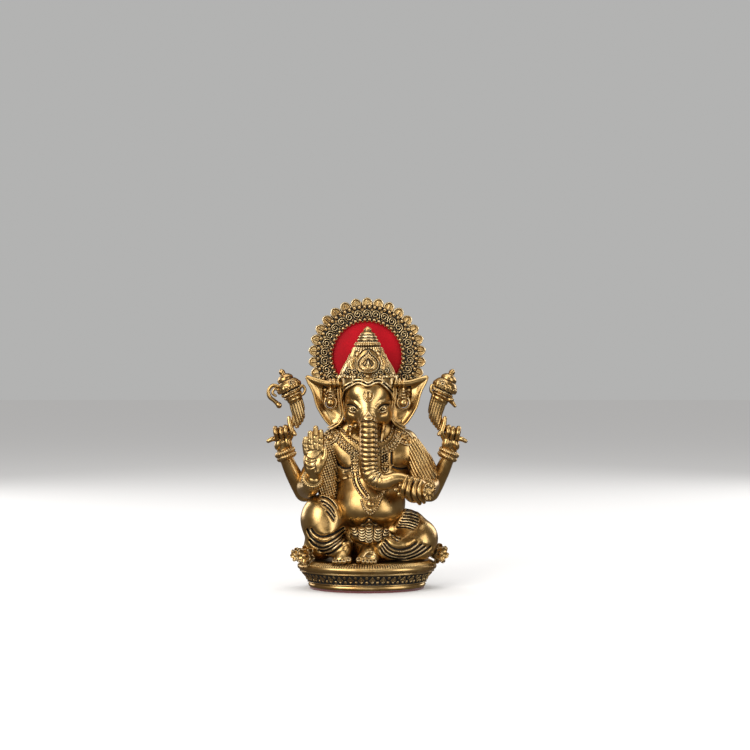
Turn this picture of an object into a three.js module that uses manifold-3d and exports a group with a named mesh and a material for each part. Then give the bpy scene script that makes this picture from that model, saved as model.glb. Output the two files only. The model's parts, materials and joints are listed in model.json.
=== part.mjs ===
// A seated four-armed Ganesha idol in antique brass, 230 mm tall, with a lift-off halo.
// Millimetres, +Z up, the figure faces -Y. The origin is the centre of the underside.
// "Right" and "left" are the figure's own right (-X) and left (+X).
import * as THREE from "three";
import { mergeVertices } from "three/addons/utils/BufferGeometryUtils.js";
import Module from "manifold-3d";

// ---------------------------------------------------------------- driving dimensions
const GAP = 0.3; // running gap left between neighbouring castings
const PLINTH = { halfWidth: 54.5, halfDepth: 38, foot: 46, rim: 19, bevel: 6, top: 22.5, wall: 5, felt: 1.5 };
const DEPTH_SHARE = PLINTH.halfDepth / PLINTH.halfWidth;

const HALO = {
  centre: [0, 0, 182],
  petals: 30,
  tipRadius: 47.6,
  valleyRadius: 43.5,
  holeRadius: 27.5,
  front: 26.5,
  thickness: 3,
  discRadius: 33.5,
  discThickness: 1,
};
const TONGUE = { halfWidth: 7, thickness: 3, foot: 110, head: 147 };
const TONGUE_Y = HALO.front + HALO.thickness + GAP;
const BRACKET = { halfWidth: 10.5, wall: 2.6, foot: 106, top: 126, front: 25.6 };
const WING = { reach: 19, height: 11, z: 117 }; // the bracket's two ears, which the screws go through
const SLOT_CLEARANCE = 0.3;

const STUD = { radius: 3, foot: 4.5, top: 58, y: 4 };
const WASHER = { radius: 7, thickness: 1.5 };
const NUT = { radius: 5.6, thickness: 4.5 };
const DOWEL = { radius: 3, foot: 106, top: 142, y: 8 };
const SCREW = { headRadius: 2.8, headHeight: 1.6, shankRadius: 1.5, length: 9, x: 15 };
const RIVET = { headRadius: 1.8, headHeight: 0.9, shankRadius: 1, length: 5, x: 4, z: 141 };

// Arms: [x, y, z, radius] stations from shoulder to wrist. The rear pair mirror each other, and
// REAR_ARM is the right one.
const FRONT_RIGHT_ARM = [
  [-25, 6, 113, 11],
  [-42, 4, 95, 9.8],
  [-48, 0, 81, 8.6],
  [-44.5, -15, 83, 7],
  [-41, -24, 88, 5.6],
];
const FRONT_LEFT_ARM = [
  [25, 6, 113, 11],
  [42, 4, 95, 9.8],
  [48.5, 0, 81, 8.8],
  [45.5, -14, 79, 7],
  [43.5, -22, 78, 5.8],
];
const REAR_ARM = [
  [-23, 15, 112, 9.5],
  [-41, 15, 90, 8.2],
  [-48, 12, 73, 7.2],
  [-57, 7, 87, 6.2],
  [-63.5, 3, 101, 5],
];
const REAR_WRIST = [-63.8, 3, 104.5];
const WRIST_LEAN = 0.42; // radians that a rear wrist tips outwards

// The goad and the noose: where the bell-shaped head starts and which way it points, on the right.
const HELD = { root: [-56, 2, 147], axis: [-0.43, 0, 0.9] };

// ---------------------------------------------------------------- solids
const wasm = await Module();
wasm.setup();

// A closed three.js geometry as a solid that can be joined and cut.
function solidOf(geometry) {
  const bare = geometry.index ? geometry.toNonIndexed() : geometry.clone();
  bare.deleteAttribute("normal");
  bare.deleteAttribute("uv");
  const merged = mergeVertices(bare, 1e-4);
  return new wasm.Manifold(
    new wasm.Mesh({
      numProp: 3,
      vertProperties: merged.attributes.position.array,
      triVerts: new Uint32Array(merged.index.array),
    }),
  );
}

function geometryOf(solid) {
  const mesh = solid.getMesh();
  const geometry = new THREE.BufferGeometry();
  geometry.setAttribute("position", new THREE.BufferAttribute(mesh.vertProperties, 3));
  geometry.setIndex(new THREE.BufferAttribute(mesh.triVerts, 1));
  geometry.computeVertexNormals();
  return geometry;
}

const joined = (...solids) => solids.reduce((all, solid) => all.add(solid));
const mirrored = ([x, y, z, ...rest]) => [-x, y, z, ...rest];

// Every shape below is a function of grow, the distance its skin is moved out by: 0 gives the
// piece itself, and GAP gives the cutter that makes room for it in its neighbours.
function ball([x, y, z], [rx, ry, rz], turn = [0, 0, 0], detail = 8) {
  return (grow) => {
    const geometry = new THREE.SphereGeometry(1, detail, Math.ceil(detail * 0.6));
    geometry.scale(rx + grow, rz + grow, ry + grow);
    geometry.rotateX(Math.PI / 2);
    geometry.applyMatrix4(new THREE.Matrix4().makeRotationFromEuler(new THREE.Euler(...turn)));
    geometry.translate(x, y, z);
    return solidOf(geometry);
  };
}

function block([x, y, z], [sx, sy, sz]) {
  return (grow) => {
    const geometry = new THREE.BoxGeometry(sx + 2 * grow, sy + 2 * grow, sz + 2 * grow);
    geometry.translate(x, y, z);
    return solidOf(geometry);
  };
}

// A round-ended tube along a smooth curve; each station is [x, y, z, radius].
function limb(stations, sides = 8, steps = 2) {
  return (grow) => {
    const curve = new THREE.CatmullRomCurve3(
      stations.map(([x, y, z]) => new THREE.Vector3(x, y, z)),
      false,
      "centripetal",
    );
    const last = stations.length - 1;
    const count = last * steps;
    const frames = curve.computeFrenetFrames(count, false);
    const radiusAt = (u) => {
      const t = curve.getUtoTmapping(u) * last;
      const i = Math.min(Math.floor(t), last - 1);
      return THREE.MathUtils.lerp(stations[i][3], stations[i + 1][3], t - i) + grow;
    };
    const capTurn = Math.PI / 4;
    const ringList = [];
    for (let i = 0; i <= count; i++) {
      const centre = curve.getPointAt(i / count);
      const radius = radiusAt(i / count);
      const end = i === 0 ? -1 : i === count ? 1 : 0;
      const ring = { centre, radius, n: frames.normals[i], b: frames.binormals[i] };
      const cap = end && {
        ...ring,
        centre: centre.clone().addScaledVector(frames.tangents[i], end * radius * Math.sin(capTurn)),
        radius: radius * Math.cos(capTurn),
      };
      const pole = end && centre.clone().addScaledVector(frames.tangents[i], end * radius);
      if (end < 0) ringList.push({ pole }, cap, ring);
      else if (end > 0) ringList.push(ring, cap, { pole });
      else ringList.push(ring);
    }
    return solidOf(skinOver(ringList, sides));
  };
}

// Joins a list of rings, the first and the last of which are poles, into one closed surface.
function skinOver(ringList, sides) {
  const pointOn = (ring, k) => {
    const turn = (2 * Math.PI * (k % sides)) / sides;
    return (
      ring.pole ??
      ring.centre
        .clone()
        .addScaledVector(ring.n, ring.radius * Math.cos(turn))
        .addScaledVector(ring.b, ring.radius * Math.sin(turn))
    );
  };
  const corners = [];
  for (let r = 0; r + 1 < ringList.length; r++) {
    const [here, next] = [ringList[r], ringList[r + 1]];
    for (let k = 0; k < sides; k++) {
      if (!here.pole) corners.push(pointOn(here, k), pointOn(here, k + 1), pointOn(next, k + 1));
      if (!next.pole) corners.push(pointOn(here, k), pointOn(next, k + 1), pointOn(next, k));
    }
  }
  return new THREE.BufferGeometry().setFromPoints(corners);
}

// A solid of revolution about a vertical axis. The profile runs upwards, [radius, z] from the axis
// to the axis; depthShare squeezes it along Y, and axis is the direction that its top points in.
function turned(profile, { at = [0, 0, 0], depthShare = 1, sides = 16, axis = [0, 0, 1] } = {}) {
  return (grow) => {
    const bottom = profile[0][1];
    const top = profile.at(-1)[1];
    const points = profile.map(([r, z]) => {
      const out = r > 0 ? r + grow : 0;
      const up = z === bottom ? z - grow : z === top ? z + grow : z;
      return new THREE.Vector2(out, up);
    });
    const geometry = new THREE.LatheGeometry(points, sides);
    geometry.rotateX(Math.PI / 2);
    geometry.scale(1, depthShare, 1);
    const [upright, tipped] = [new THREE.Vector3(0, 0, 1), new THREE.Vector3(...axis).normalize()];
    geometry.applyQuaternion(new THREE.Quaternion().setFromUnitVectors(upright, tipped));
    geometry.translate(...at);
    return solidOf(geometry);
  };
}

// A closed ring of round wire, centred at a point, its axis turned from +Z by the Euler angles.
function hoop([x, y, z], [rx, ry], wire, turn = [0, 0, 0], height = 1, around = 16) {
  return (grow) => {
    const geometry = new THREE.TorusGeometry(1, 0.5, 4, around);
    const position = geometry.getAttribute("position");
    const p = new THREE.Vector3();
    for (let i = 0; i < position.count; i++) {
      p.fromBufferAttribute(position, i);
      const reach = Math.hypot(p.x, p.y);
      const out = (reach - 1) * 2 * (wire + grow);
      position.setXYZ(
        i,
        (p.x / reach) * (rx + out),
        (p.y / reach) * (ry + out),
        p.z * 2 * (wire + grow) * height,
      );
    }
    geometry.applyMatrix4(new THREE.Matrix4().makeRotationFromEuler(new THREE.Euler(...turn)));
    geometry.translate(x, y, z);
    return solidOf(geometry);
  };
}

// A flat plate seen from the front: outline is [x, z] points, y its front face.
function plate(outline, y, thickness, turn = 0, pivot = [0, 0]) {
  return (grow) => {
    const middle = outline.reduce((sum, p) => [sum[0] + p[0], sum[1] + p[1]], [0, 0]);
    const [cx, cz] = middle.map((value) => value / outline.length);
    const shape = new THREE.Shape(
      outline.map(([x, z]) => {
        const reach = Math.hypot(x - cx, z - cz);
        const share = 1 + grow / reach;
        return new THREE.Vector2(cx + (x - cx) * share, cz + (z - cz) * share);
      }),
    );
    const geometry = new THREE.ExtrudeGeometry(shape, { depth: thickness + 2 * grow, bevelEnabled: false });
    geometry.rotateX(Math.PI / 2);
    geometry.translate(-pivot[0], thickness + grow, 0);
    geometry.rotateZ(turn);
    geometry.translate(pivot[0], y + pivot[1], 0);
    return solidOf(geometry);
  };
}

// Two or more shapes as one piece, and one shape with others cut out of it.
const union = (...shapes) => (grow) => joined(...shapes.map((shape) => shape(grow)));
const less = (shape, ...cutters) => (grow) =>
  cutters.reduce((solid, cutter) => solid.subtract(cutter(-grow)), shape(grow));

// ---------------------------------------------------------------- the pieces
const materials = {
  antique_brass: new THREE.MeshStandardMaterial({ color: 0xa87a34, roughness: 0.32, metalness: 1 }),
  red_lacquer: new THREE.MeshStandardMaterial({ color: 0xa3101a, roughness: 0.45, metalness: 0 }),
  felt: new THREE.MeshStandardMaterial({ color: 0x3a1414, roughness: 0.95, metalness: 0 }),
  steel: new THREE.MeshStandardMaterial({ color: 0x8d8d90, roughness: 0.35, metalness: 1 }),
};
const figure = new THREE.Group();
const halo = new THREE.Group();
figure.add(halo);

// Each piece is trimmed back, by the gap, from every piece made before it, so what is fastened
// into something comes first and the ornaments that lie on the body come last.
const made = [];
function piece(name, shape, material = "antique_brass", group = figure) {
  let solid = shape(0);
  for (const other of made) {
    other.cutter ??= other.shape(GAP);
    if (boxesMeet(solid.boundingBox(), other.cutter.boundingBox())) solid = solid.subtract(other.cutter);
  }
  made.push({ shape });
  const largest = solid.decompose().sort((a, b) => b.volume() - a.volume())[0];
  const geometry = geometryOf(largest);
  geometry.computeBoundingBox();
  const centre = geometry.boundingBox.getCenter(new THREE.Vector3()).round();
  geometry.translate(-centre.x, -centre.y, -centre.z);
  const mesh = new THREE.Mesh(geometry, materials[material]);
  mesh.name = name;
  mesh.position.copy(centre);
  group.add(mesh);
}

function boxesMeet(a, b) {
  return [0, 1, 2].every((i) => a.min[i] < b.max[i] && b.min[i] < a.max[i]);
}

// Fasteners: a plain rod or disc standing on end, and a headed pin that points forwards.
function rod(radius, foot, top, y = 0, sides = 12) {
  return turned([[0, foot], [radius, foot], [radius, top], [0, top]], { at: [0, y, 0], sides });
}
function headedPin([x, seat, z], { headRadius, headHeight, shankRadius, length }) {
  const top = length + headHeight;
  const shank = [[0, 0], [shankRadius, 0], [shankRadius, length]];
  const profile = [...shank, [headRadius, length], [headRadius, top], [0, top]];
  return turned(profile, { at: [x, seat - length, z], sides: 10, axis: [0, 1, 0] });
}

// ------------------------------ fasteners
const nutTop = PLINTH.top - PLINTH.wall - WASHER.thickness - 2 * GAP;
piece("body_stud", rod(STUD.radius, STUD.foot, STUD.top, STUD.y), "steel");
piece("body_washer", rod(WASHER.radius, nutTop + GAP, nutTop + GAP + WASHER.thickness, STUD.y, 16), "steel");
piece("body_nut", rod(NUT.radius, nutTop - NUT.thickness, nutTop, STUD.y, 6), "steel");
piece("neck_dowel", rod(DOWEL.radius, DOWEL.foot, DOWEL.top, DOWEL.y), "steel");
for (const [side, x] of [["right", -SCREW.x], ["left", SCREW.x]]) {
  piece("bracket_screw_" + side, headedPin([x, BRACKET.front + BRACKET.wall + GAP, WING.z], SCREW), "steel");
}

// ------------------------------ base: a hollow casting with a felt pad
const plinthProfile = [
  [0, PLINTH.felt + GAP],
  [PLINTH.foot, PLINTH.felt + GAP],
  [PLINTH.foot + 0.5, 5],
  [PLINTH.foot + 1.8, 9.5],
  [PLINTH.halfWidth - 1.4, 15],
  [PLINTH.halfWidth, 16.6],
  [PLINTH.halfWidth, PLINTH.rim],
  [PLINTH.halfWidth - PLINTH.bevel, PLINTH.top],
  [0, PLINTH.top],
];
const [cavityRadius, cavityTop] = [PLINTH.foot - PLINTH.wall, PLINTH.top - PLINTH.wall];
const cavity = turned([[0, -5], [cavityRadius, -5], [cavityRadius, cavityTop], [0, cavityTop]], {
  depthShare: DEPTH_SHARE,
  sides: 28,
});
piece("base_plinth", less(turned(plinthProfile, { depthShare: DEPTH_SHARE, sides: 36 }), cavity));
const padRadius = PLINTH.foot - 1;
const padProfile = [[0, 0], [padRadius, 0], [padRadius, PLINTH.felt], [0, PLINTH.felt]];
piece("felt_pad", turned(padProfile, { depthShare: DEPTH_SHARE, sides: 36 }), "felt");

// ------------------------------ halo: ring, disc and tongue, which slide up out of the bracket
const tongueMiddle = [0, TONGUE_Y + TONGUE.thickness / 2, (TONGUE.foot + TONGUE.head) / 2];
for (const [side, x] of [["right", -RIVET.x], ["left", RIVET.x]]) {
  piece(
    "tongue_rivet_" + side,
    headedPin([x, TONGUE_Y + TONGUE.thickness + GAP, RIVET.z], RIVET),
    "antique_brass",
    halo,
  );
}
piece(
  "halo_tongue",
  block(tongueMiddle, [2 * TONGUE.halfWidth, TONGUE.thickness, TONGUE.head - TONGUE.foot]),
  "antique_brass",
  halo,
);
piece(
  "halo_disc",
  turned([[0, 0], [HALO.discRadius, 0], [HALO.discRadius, HALO.discThickness], [0, HALO.discThickness]], {
    at: [0, TONGUE_Y, HALO.centre[2]],
    sides: 36,
    axis: [0, 1, 0],
  }),
  "red_lacquer",
  halo,
);
// A flat ring with rounded petals round its rim.
function haloRing(grow) {
  const pitch = (2 * Math.PI) / HALO.petals;
  const shoulder = HALO.tipRadius - 0.9;
  const petal = [[-0.5, HALO.valleyRadius], [-0.22, shoulder], [0, HALO.tipRadius], [0.22, shoulder]];
  const points = [];
  for (let i = 0; i < HALO.petals; i++) {
    for (const [share, radius] of petal) {
      const angle = Math.PI / 2 + (i + share) * pitch;
      points.push(new THREE.Vector2((radius + grow) * Math.cos(angle), (radius + grow) * Math.sin(angle)));
    }
  }
  const shape = new THREE.Shape(points);
  shape.holes.push(new THREE.Path().absarc(0, 0, HALO.holeRadius - grow, 0, 2 * Math.PI, true));
  const depth = HALO.thickness + 2 * grow;
  const geometry = new THREE.ExtrudeGeometry(shape, { depth, bevelEnabled: false, curveSegments: 16 });
  geometry.rotateX(Math.PI / 2);
  geometry.translate(HALO.centre[0], HALO.front + HALO.thickness + grow, HALO.centre[2]);
  return solidOf(geometry);
}
piece("halo_ring", haloRing, "antique_brass", halo);

const bracketBack = TONGUE_Y + TONGUE.thickness + SLOT_CLEARANCE + BRACKET.wall;
const bracketBox = block(
  [0, (BRACKET.front + bracketBack) / 2, (BRACKET.foot + BRACKET.top) / 2],
  [2 * BRACKET.halfWidth, bracketBack - BRACKET.front, BRACKET.top - BRACKET.foot],
);
const bracketWings = block(
  [0, BRACKET.front + BRACKET.wall / 2, WING.z],
  [2 * WING.reach, BRACKET.wall, WING.height],
);
const slotHeight = 2 * (BRACKET.top - TONGUE.foot);
const slot = block(
  [0, TONGUE_Y + TONGUE.thickness / 2, TONGUE.foot - SLOT_CLEARANCE + slotHeight / 2],
  [2 * (TONGUE.halfWidth + SLOT_CLEARANCE), TONGUE.thickness + 2 * SLOT_CLEARANCE, slotHeight],
);
piece("halo_bracket", less(union(bracketBox, bracketWings), slot));

// ------------------------------ torso and head
const padFront = 15.7; // the flat pad on the back that the bracket screws to
piece(
  "torso",
  union(
    ball([1, 8, 104], [30, 19, 22], [0, 0, 0], 14),
    ball([1, 2, 67], [29, 26, 23], [0, 0, 0], 14),
    ball([0, 8, 38], [32, 24, 20], [0, 0, 0], 12),
    ball([0, 8, 124], [16, 13, 9]),
    limb([[-24, 7, 113, 11.5], [26, 7, 113, 11.5]], 8, 1),
    block(
      [0, (padFront + BRACKET.front - GAP) / 2, WING.z],
      [2 * WING.reach, BRACKET.front - GAP - padFront, WING.height + 3],
    ),
  ),
);
piece(
  "head",
  union(
    ball([0.5, 3, 148], [20.5, 19.5, 20], [0, 0, 0], 12),
    ball([0.5, -9, 150], [14, 11, 11]),
    ball([-12, -8, 134.5], [8.2, 10, 8.6]),
    ball([13, -8, 134.5], [8.2, 10, 8.6]),
  ),
);

// ------------------------------ legs, feet and drapery
const RIGHT_LEG = [
  [-14, 8, 38, 19.5],
  [-31, 0, 47, 18.5],
  [-36.5, -10, 51.5, 16],
  [-30, -19, 39, 12.5],
  [-20, -22, 32, 9],
];
const LEFT_LEG = [
  [14, 8, 38, 19.5],
  [31, 2, 40, 18.5],
  [40, -6, 38, 17],
  [30, -17, 33, 13],
  [14, -21, 31, 10.5],
];
piece("right_leg", limb(RIGHT_LEG, 10, 2));
piece("left_leg", limb(LEFT_LEG, 10, 2));
for (const [side, toeX, ankleX] of [["right", -17, -18], ["left", 2, 5]]) {
  piece(
    side + "_foot",
    union(
      limb([[ankleX, -21, 33, 6.4], [toeX, -25, 28.6, 6.6]], 8, 1),
      ball([toeX, -28.5, PLINTH.top + GAP + 4.2], [7.2, 7.2, 4.2]),
    ),
  );
}
piece("dhoti_pleats", ball([2, -24, 40.5], [16, 9, 9.5]));
const ROSETTES = {
  right_front: [-46.6, -17.5, 27.4, 7.6],
  right_rear: [-54, -4, 26.4, 6.6],
  left: [55.5, -3, 27.4, 7.4],
};
for (const [name, [x, y, z, radius]] of Object.entries(ROSETTES)) {
  piece("rosette_" + name, ball([x, y, z], [radius, radius * 0.8, radius + 0.8], [0, 0, x < 0 ? -0.4 : 0.5]));
}

// ------------------------------ arms, hands and bracelets
piece("front_right_arm", limb(FRONT_RIGHT_ARM, 8, 2));
piece("front_left_arm", limb(FRONT_LEFT_ARM, 8, 2));
piece("rear_right_arm", limb(REAR_ARM, 8, 2));
piece("rear_left_arm", limb(REAR_ARM.map(mirrored), 8, 2));

// The raised palm: each finger runs from [x, z] at its knuckle to [x, z] at its tip.
const palmY = -27.5;
const raisedFingers = [
  [-47.2, 106, -48.6, 116, 2],
  [-44.4, 108, -45, 121, 2.2],
  [-40.4, 108.5, -40.6, 125.5, 2.3],
  [-36.6, 108, -35.8, 122, 2.2],
];
piece(
  "front_right_hand",
  union(
    ball([-41.8, palmY, 99.5], [8.8, 4.4, 12], [0.05, 0, 0]),
    limb([[-36.5, palmY, 95, 3.6], [-33.4, palmY - 1, 101, 3], [-32.6, palmY - 1, 108, 2.1]], 5, 1),
    ...raisedFingers.map(([x, z, tipX, tipZ, r]) => {
      return limb([[x, palmY, z, r + 0.3], [tipX, palmY + 0.5, tipZ, r]], 5, 1);
    }),
  ),
);
const curledFinger = (i) => {
  const [x, y] = [32 + 3.9 * i, -32 - i];
  return limb([[x, y, 69, 2.4], [x - 0.6, y - 8, 73, 2.3], [x - 0.2, y - 6.5, 82, 2.2]], 5, 1);
};
piece(
  "front_left_hand",
  union(
    ball([40, -27, 72], [9.5, 6, 9], [0, 0, 0.3]),
    ...[0, 1, 2, 3].map(curledFinger),
    limb([[29.5, -30, 70, 2.4], [27.6, -34.5, 76, 2]], 5, 1),
  ),
);
function rearHand(flip) {
  const place = (stations) => stations.map(([x, y, z, r]) => [x * flip, y, z, r]);
  const curled = (i) => {
    const [knuckle, tip] = [[64 + 3.6 * i, 3, 119 - i, 2.6], [63.5 + 4 * i, -3.5, 124 - 1.5 * i, 2.4]];
    return limb(place([knuckle, tip]), 5, 1);
  };
  return union(
    ball([65.2 * flip, 2.5, 113.5], [5.6, 4.6, 8]),
    limb(place([[61.5, 1, 114, 3.2], [58.2, -2, 122, 2.6], [60.4, -3, 131, 2]]), 5, 1),
    ...[0, 1, 2].map(curled),
    limb(place([[70, 2, 116, 2.4], [76, -2, 114.5, 1.9]]), 5, 1),
  );
}
piece("rear_right_hand", rearHand(-1));
piece("rear_left_hand", rearHand(1));

piece("front_right_bracelet", hoop([-42, -22, 86], [6.6, 6.6], 2, [1.15, 0.2, 0], 1.7, 14));
piece("front_left_bracelet", hoop([44.8, -20, 79.5], [6.8, 6.8], 2, [1.4, 0.5, 0], 1.7, 14));
piece("rear_right_bracelet", hoop(REAR_WRIST, [6.6, 6.4], 2.1, [0, -WRIST_LEAN, 0], 2, 14));
piece("rear_left_bracelet", hoop(mirrored(REAR_WRIST), [6.6, 6.4], 2.1, [0, WRIST_LEAN, 0], 2, 14));

// ------------------------------ what the hands hold
const sweetBody = ball([39, -33, 76.5], [10.5, 8.5, 9.5], [0, 0, 0.5]);
const sweetEnd = ball([45.5, -36.5, 77], [3.4, 6.6, 7.6], [0, 0, 0.55]);
piece("modak", union(sweetBody, sweetEnd));
// The bell-shaped head of the goad or the noose; flip is 1 on the right and -1 on the left.
function heldHead(flip) {
  const bell = [[0, 0], [6.5, 0], [9, 3.5], [9.4, 8], [8.8, 14], [6, 19], [3.2, 22], [2.6, 26], [0, 28]];
  const [[x, y, z], [ax, ay, az]] = [HELD.root, HELD.axis];
  return turned(bell, { at: [x * flip, y, z], sides: 14, axis: [ax * flip, ay, az] });
}
const heldShaft = [[-60, 2, 124, 2.6], [-54.5, 2, 131, 4.4], [-53.3, 2, 139, 5], [-56, 2, 148, 4.6]];
const goadHook = [
  [-68.5, 1, 158, 2.2],
  [-75, 1, 157, 2.3],
  [-76.6, 1, 151, 2.3],
  [-73, 1, 146.5, 2.2],
  [-69.8, 1, 143.5, 2],
];
piece("goad", union(heldHead(1), limb(heldShaft, 8, 2), limb(goadHook, 6, 2)));
const nooseEnd = limb([[63, 1, 148, 2.8], [68.6, 1, 143, 1.6]], 5, 1);
piece("noose", union(heldHead(-1), limb(heldShaft.map(mirrored), 8, 2), nooseEnd));

// ------------------------------ ears, trunk and tusks
// One ear seen from the front, on the right, from its root along the top edge to the lobe.
const EAR = [
  [-19, 160],
  [-30, 161.5],
  [-40, 164],
  [-47.6, 166.5],
  [-47.4, 160],
  [-44.5, 151],
  [-41.5, 142],
  [-36, 132.5],
  [-29, 125],
  [-22, 129],
  [-18, 140],
];
for (const [side, flip] of [["right", 1], ["left", -1]]) {
  piece(side + "_ear", plate(EAR.map(([x, z]) => [x * flip, z]), 0, 4, -0.12 * flip, [-19 * flip, 0]));
  piece(
    side + "_earring",
    union(
      ball([-28.4 * flip, -4, 143], [4.6, 2.6, 5]),
      limb([[-28 * flip, -3, 148, 1.3], [-27.6 * flip, -2.2, 156, 1.2]], 5, 1),
    ),
  );
}
piece(
  "trunk",
  limb(
    [
      [0.5, -13, 141, 9],
      [0.7, -20, 130, 8.2],
      [0.8, -23, 115, 7.2],
      [0.8, -25, 100, 7],
      [2.2, -27.5, 89, 7],
      [9, -29, 82, 6.8],
      [18, -31, 84.5, 6],
      [24.5, -32.5, 87.2, 4.9],
      [30, -34, 84.4, 4],
    ],
    8,
    2,
  ),
);
piece("right_tusk", limb([[-9.5, -13, 133, 3.4], [-13.5, -18.5, 128.5, 3.6]], 8, 1));
piece("left_tusk", limb([[9.5, -13, 133, 3.4], [12.5, -19, 127, 2.8], [13, -22.5, 121, 1.4]], 8, 2));

// ------------------------------ crown
const domeProfile = [
  [0, 159],
  [22.5, 159],
  [23.4, 164],
  [21.4, 169],
  [17.4, 176],
  [13.4, 184],
  [10.4, 189.7],
  [0, 189.7],
];
piece("crown_dome", turned(domeProfile, { at: [0.5, 3, 0], depthShare: 0.88, sides: 20 }));
piece("crown_band", hoop([0.5, 3, 161], [22.6, 20], 2.6, [0.1, 0, 0], 1.2));
piece("crown_crest", ball([1, -14.5, 176], [8.6, 3.4, 11.5], [-0.42, 0, 0]));
const finial = [
  [0, 190],
  [10.4, 190],
  [8.8, 193.2],
  [8.4, 194],
  [7.2, 197],
  [5.4, 198.3],
  [6.1, 199.1],
  [4.2, 200.6],
  [3.1, 202],
  [2.6, 203.2],
  [0, 205.6],
];
piece("crown_finial", turned(finial, { at: [0.5, 3, 0], sides: 14 }));
piece("forehead_mark", ball([0.8, -18.6, 151], [4.2, 1.8, 4.4], [-0.2, 0, 0]));

// ------------------------------ ornaments on the body
piece("neck_collar", hoop([0.5, 3, 117], [23, 16], 4, [0.55, 0, 0], 1, 18));
piece("belly_band", hoop([1, 5, 86], [21.5, 16], 2, [0.08, 0, 0], 1.3));
piece(
  "long_necklace",
  limb(
    [
      [-19, -5, 114, 2.6],
      [-17, -10, 100, 2.8],
      [-13.5, -13.5, 85, 2.8],
      [-5, -22, 75.5, 2.6],
      [3, -24, 72, 2.4],
      [11, -22, 75.5, 2.6],
      [16, -13, 85, 2.8],
      [19, -10, 100, 2.8],
      [21, -5, 114, 2.6],
    ],
    6,
    2,
  ),
);
piece("pendant", ball([3, -25.5, 68], [6.4, 4.2, 7.2]));
for (const [side, flip] of [["right", -1], ["left", 1]]) {
  piece(side + "_shoulder_ornament", ball([28 * flip, -1, 122], [10, 9, 5], [0, 0.35 * flip, 0]));
}
piece("right_sash", limb([[-31, -6, 108, 5], [-34, -9, 95, 6], [-31, -9, 80, 6], [-27, -8, 68, 4.5]], 8, 2));
piece("left_sash", limb([[35, -4, 111, 6.5], [44.5, -7, 98, 7], [48.5, -9, 88, 6]], 8, 2));

export default figure;
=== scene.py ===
"""A seated Ganesha idol in antique brass with a lift-off halo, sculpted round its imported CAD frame.

Every casting is modelled in clay first: a block of signed distances in millimetres, in the CAD
frame, that shapes are added to, cut from and embossed on. The block is then cast as a mesh.
The figure faces -Y, and "right" and "left" are the figure's own right (-X) and left (+X).
"""

import json
import math

import bpy
import numpy as np
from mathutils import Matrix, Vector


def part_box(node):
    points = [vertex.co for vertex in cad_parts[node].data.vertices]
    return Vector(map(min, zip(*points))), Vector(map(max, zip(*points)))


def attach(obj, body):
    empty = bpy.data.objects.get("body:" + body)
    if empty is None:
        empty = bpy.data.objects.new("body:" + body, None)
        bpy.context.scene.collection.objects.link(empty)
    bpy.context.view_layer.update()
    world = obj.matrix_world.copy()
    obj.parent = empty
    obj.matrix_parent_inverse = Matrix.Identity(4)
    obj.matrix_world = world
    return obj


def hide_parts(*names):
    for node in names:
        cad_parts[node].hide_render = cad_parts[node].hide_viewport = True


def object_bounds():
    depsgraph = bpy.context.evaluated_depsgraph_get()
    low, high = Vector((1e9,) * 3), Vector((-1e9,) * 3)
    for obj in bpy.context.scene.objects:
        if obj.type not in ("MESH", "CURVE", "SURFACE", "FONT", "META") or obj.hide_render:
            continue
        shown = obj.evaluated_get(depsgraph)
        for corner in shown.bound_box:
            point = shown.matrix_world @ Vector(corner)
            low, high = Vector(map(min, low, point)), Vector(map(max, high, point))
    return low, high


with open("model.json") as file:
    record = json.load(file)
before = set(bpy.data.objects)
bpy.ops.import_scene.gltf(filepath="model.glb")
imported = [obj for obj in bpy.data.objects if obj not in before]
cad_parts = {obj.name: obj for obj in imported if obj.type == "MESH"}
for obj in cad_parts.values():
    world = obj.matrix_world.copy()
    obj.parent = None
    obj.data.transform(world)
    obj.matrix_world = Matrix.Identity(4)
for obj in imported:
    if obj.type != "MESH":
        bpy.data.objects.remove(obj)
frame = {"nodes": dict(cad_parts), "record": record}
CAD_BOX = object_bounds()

import openvdb
from mathutils import Matrix, Vector

MM = 0.001
FAR = 6.0  # distances beyond this many millimetres don't matter
COARSE = 1.0
FINE, MEDIUM = 0.24 * COARSE, 0.32 * COARSE  # grain of the clay, mm

NODE_BODY = {n: body for body, nodes in frame["record"]["behaviour"]["bodies"].items() for n in nodes}


# ------------------------------------------------------------------ places from the frame
def box_mm(node):
    """The corners of a CAD node's box, in mm."""
    low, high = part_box(node)
    return np.array(low) / MM, np.array(high) / MM


def middle(node):
    """The middle of a CAD node's box, in mm."""
    low, high = box_mm(node)
    return (low + high) / 2


def skin(rows):
    """Points and triangles of a skin over rows of points that each close on themselves."""
    count, around = rows.shape[:2]
    index = np.arange(count * around).reshape(count, around)
    for row, points in enumerate(rows):
        if np.ptp(points, axis=0).max() < 1e-9:
            index[row] = index[row, 0]
    a, b = index[:-1], index[1:]
    a2, b2 = np.roll(a, -1, 1), np.roll(b, -1, 1)
    tris = np.concatenate([np.stack((a, a2, b2), -1), np.stack((a, b2, b), -1)]).reshape(-1, 3)
    whole = (tris[:, 0] != tris[:, 1]) & (tris[:, 1] != tris[:, 2]) & (tris[:, 2] != tris[:, 0])
    return rows.reshape(-1, 3), tris[whole]


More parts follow.
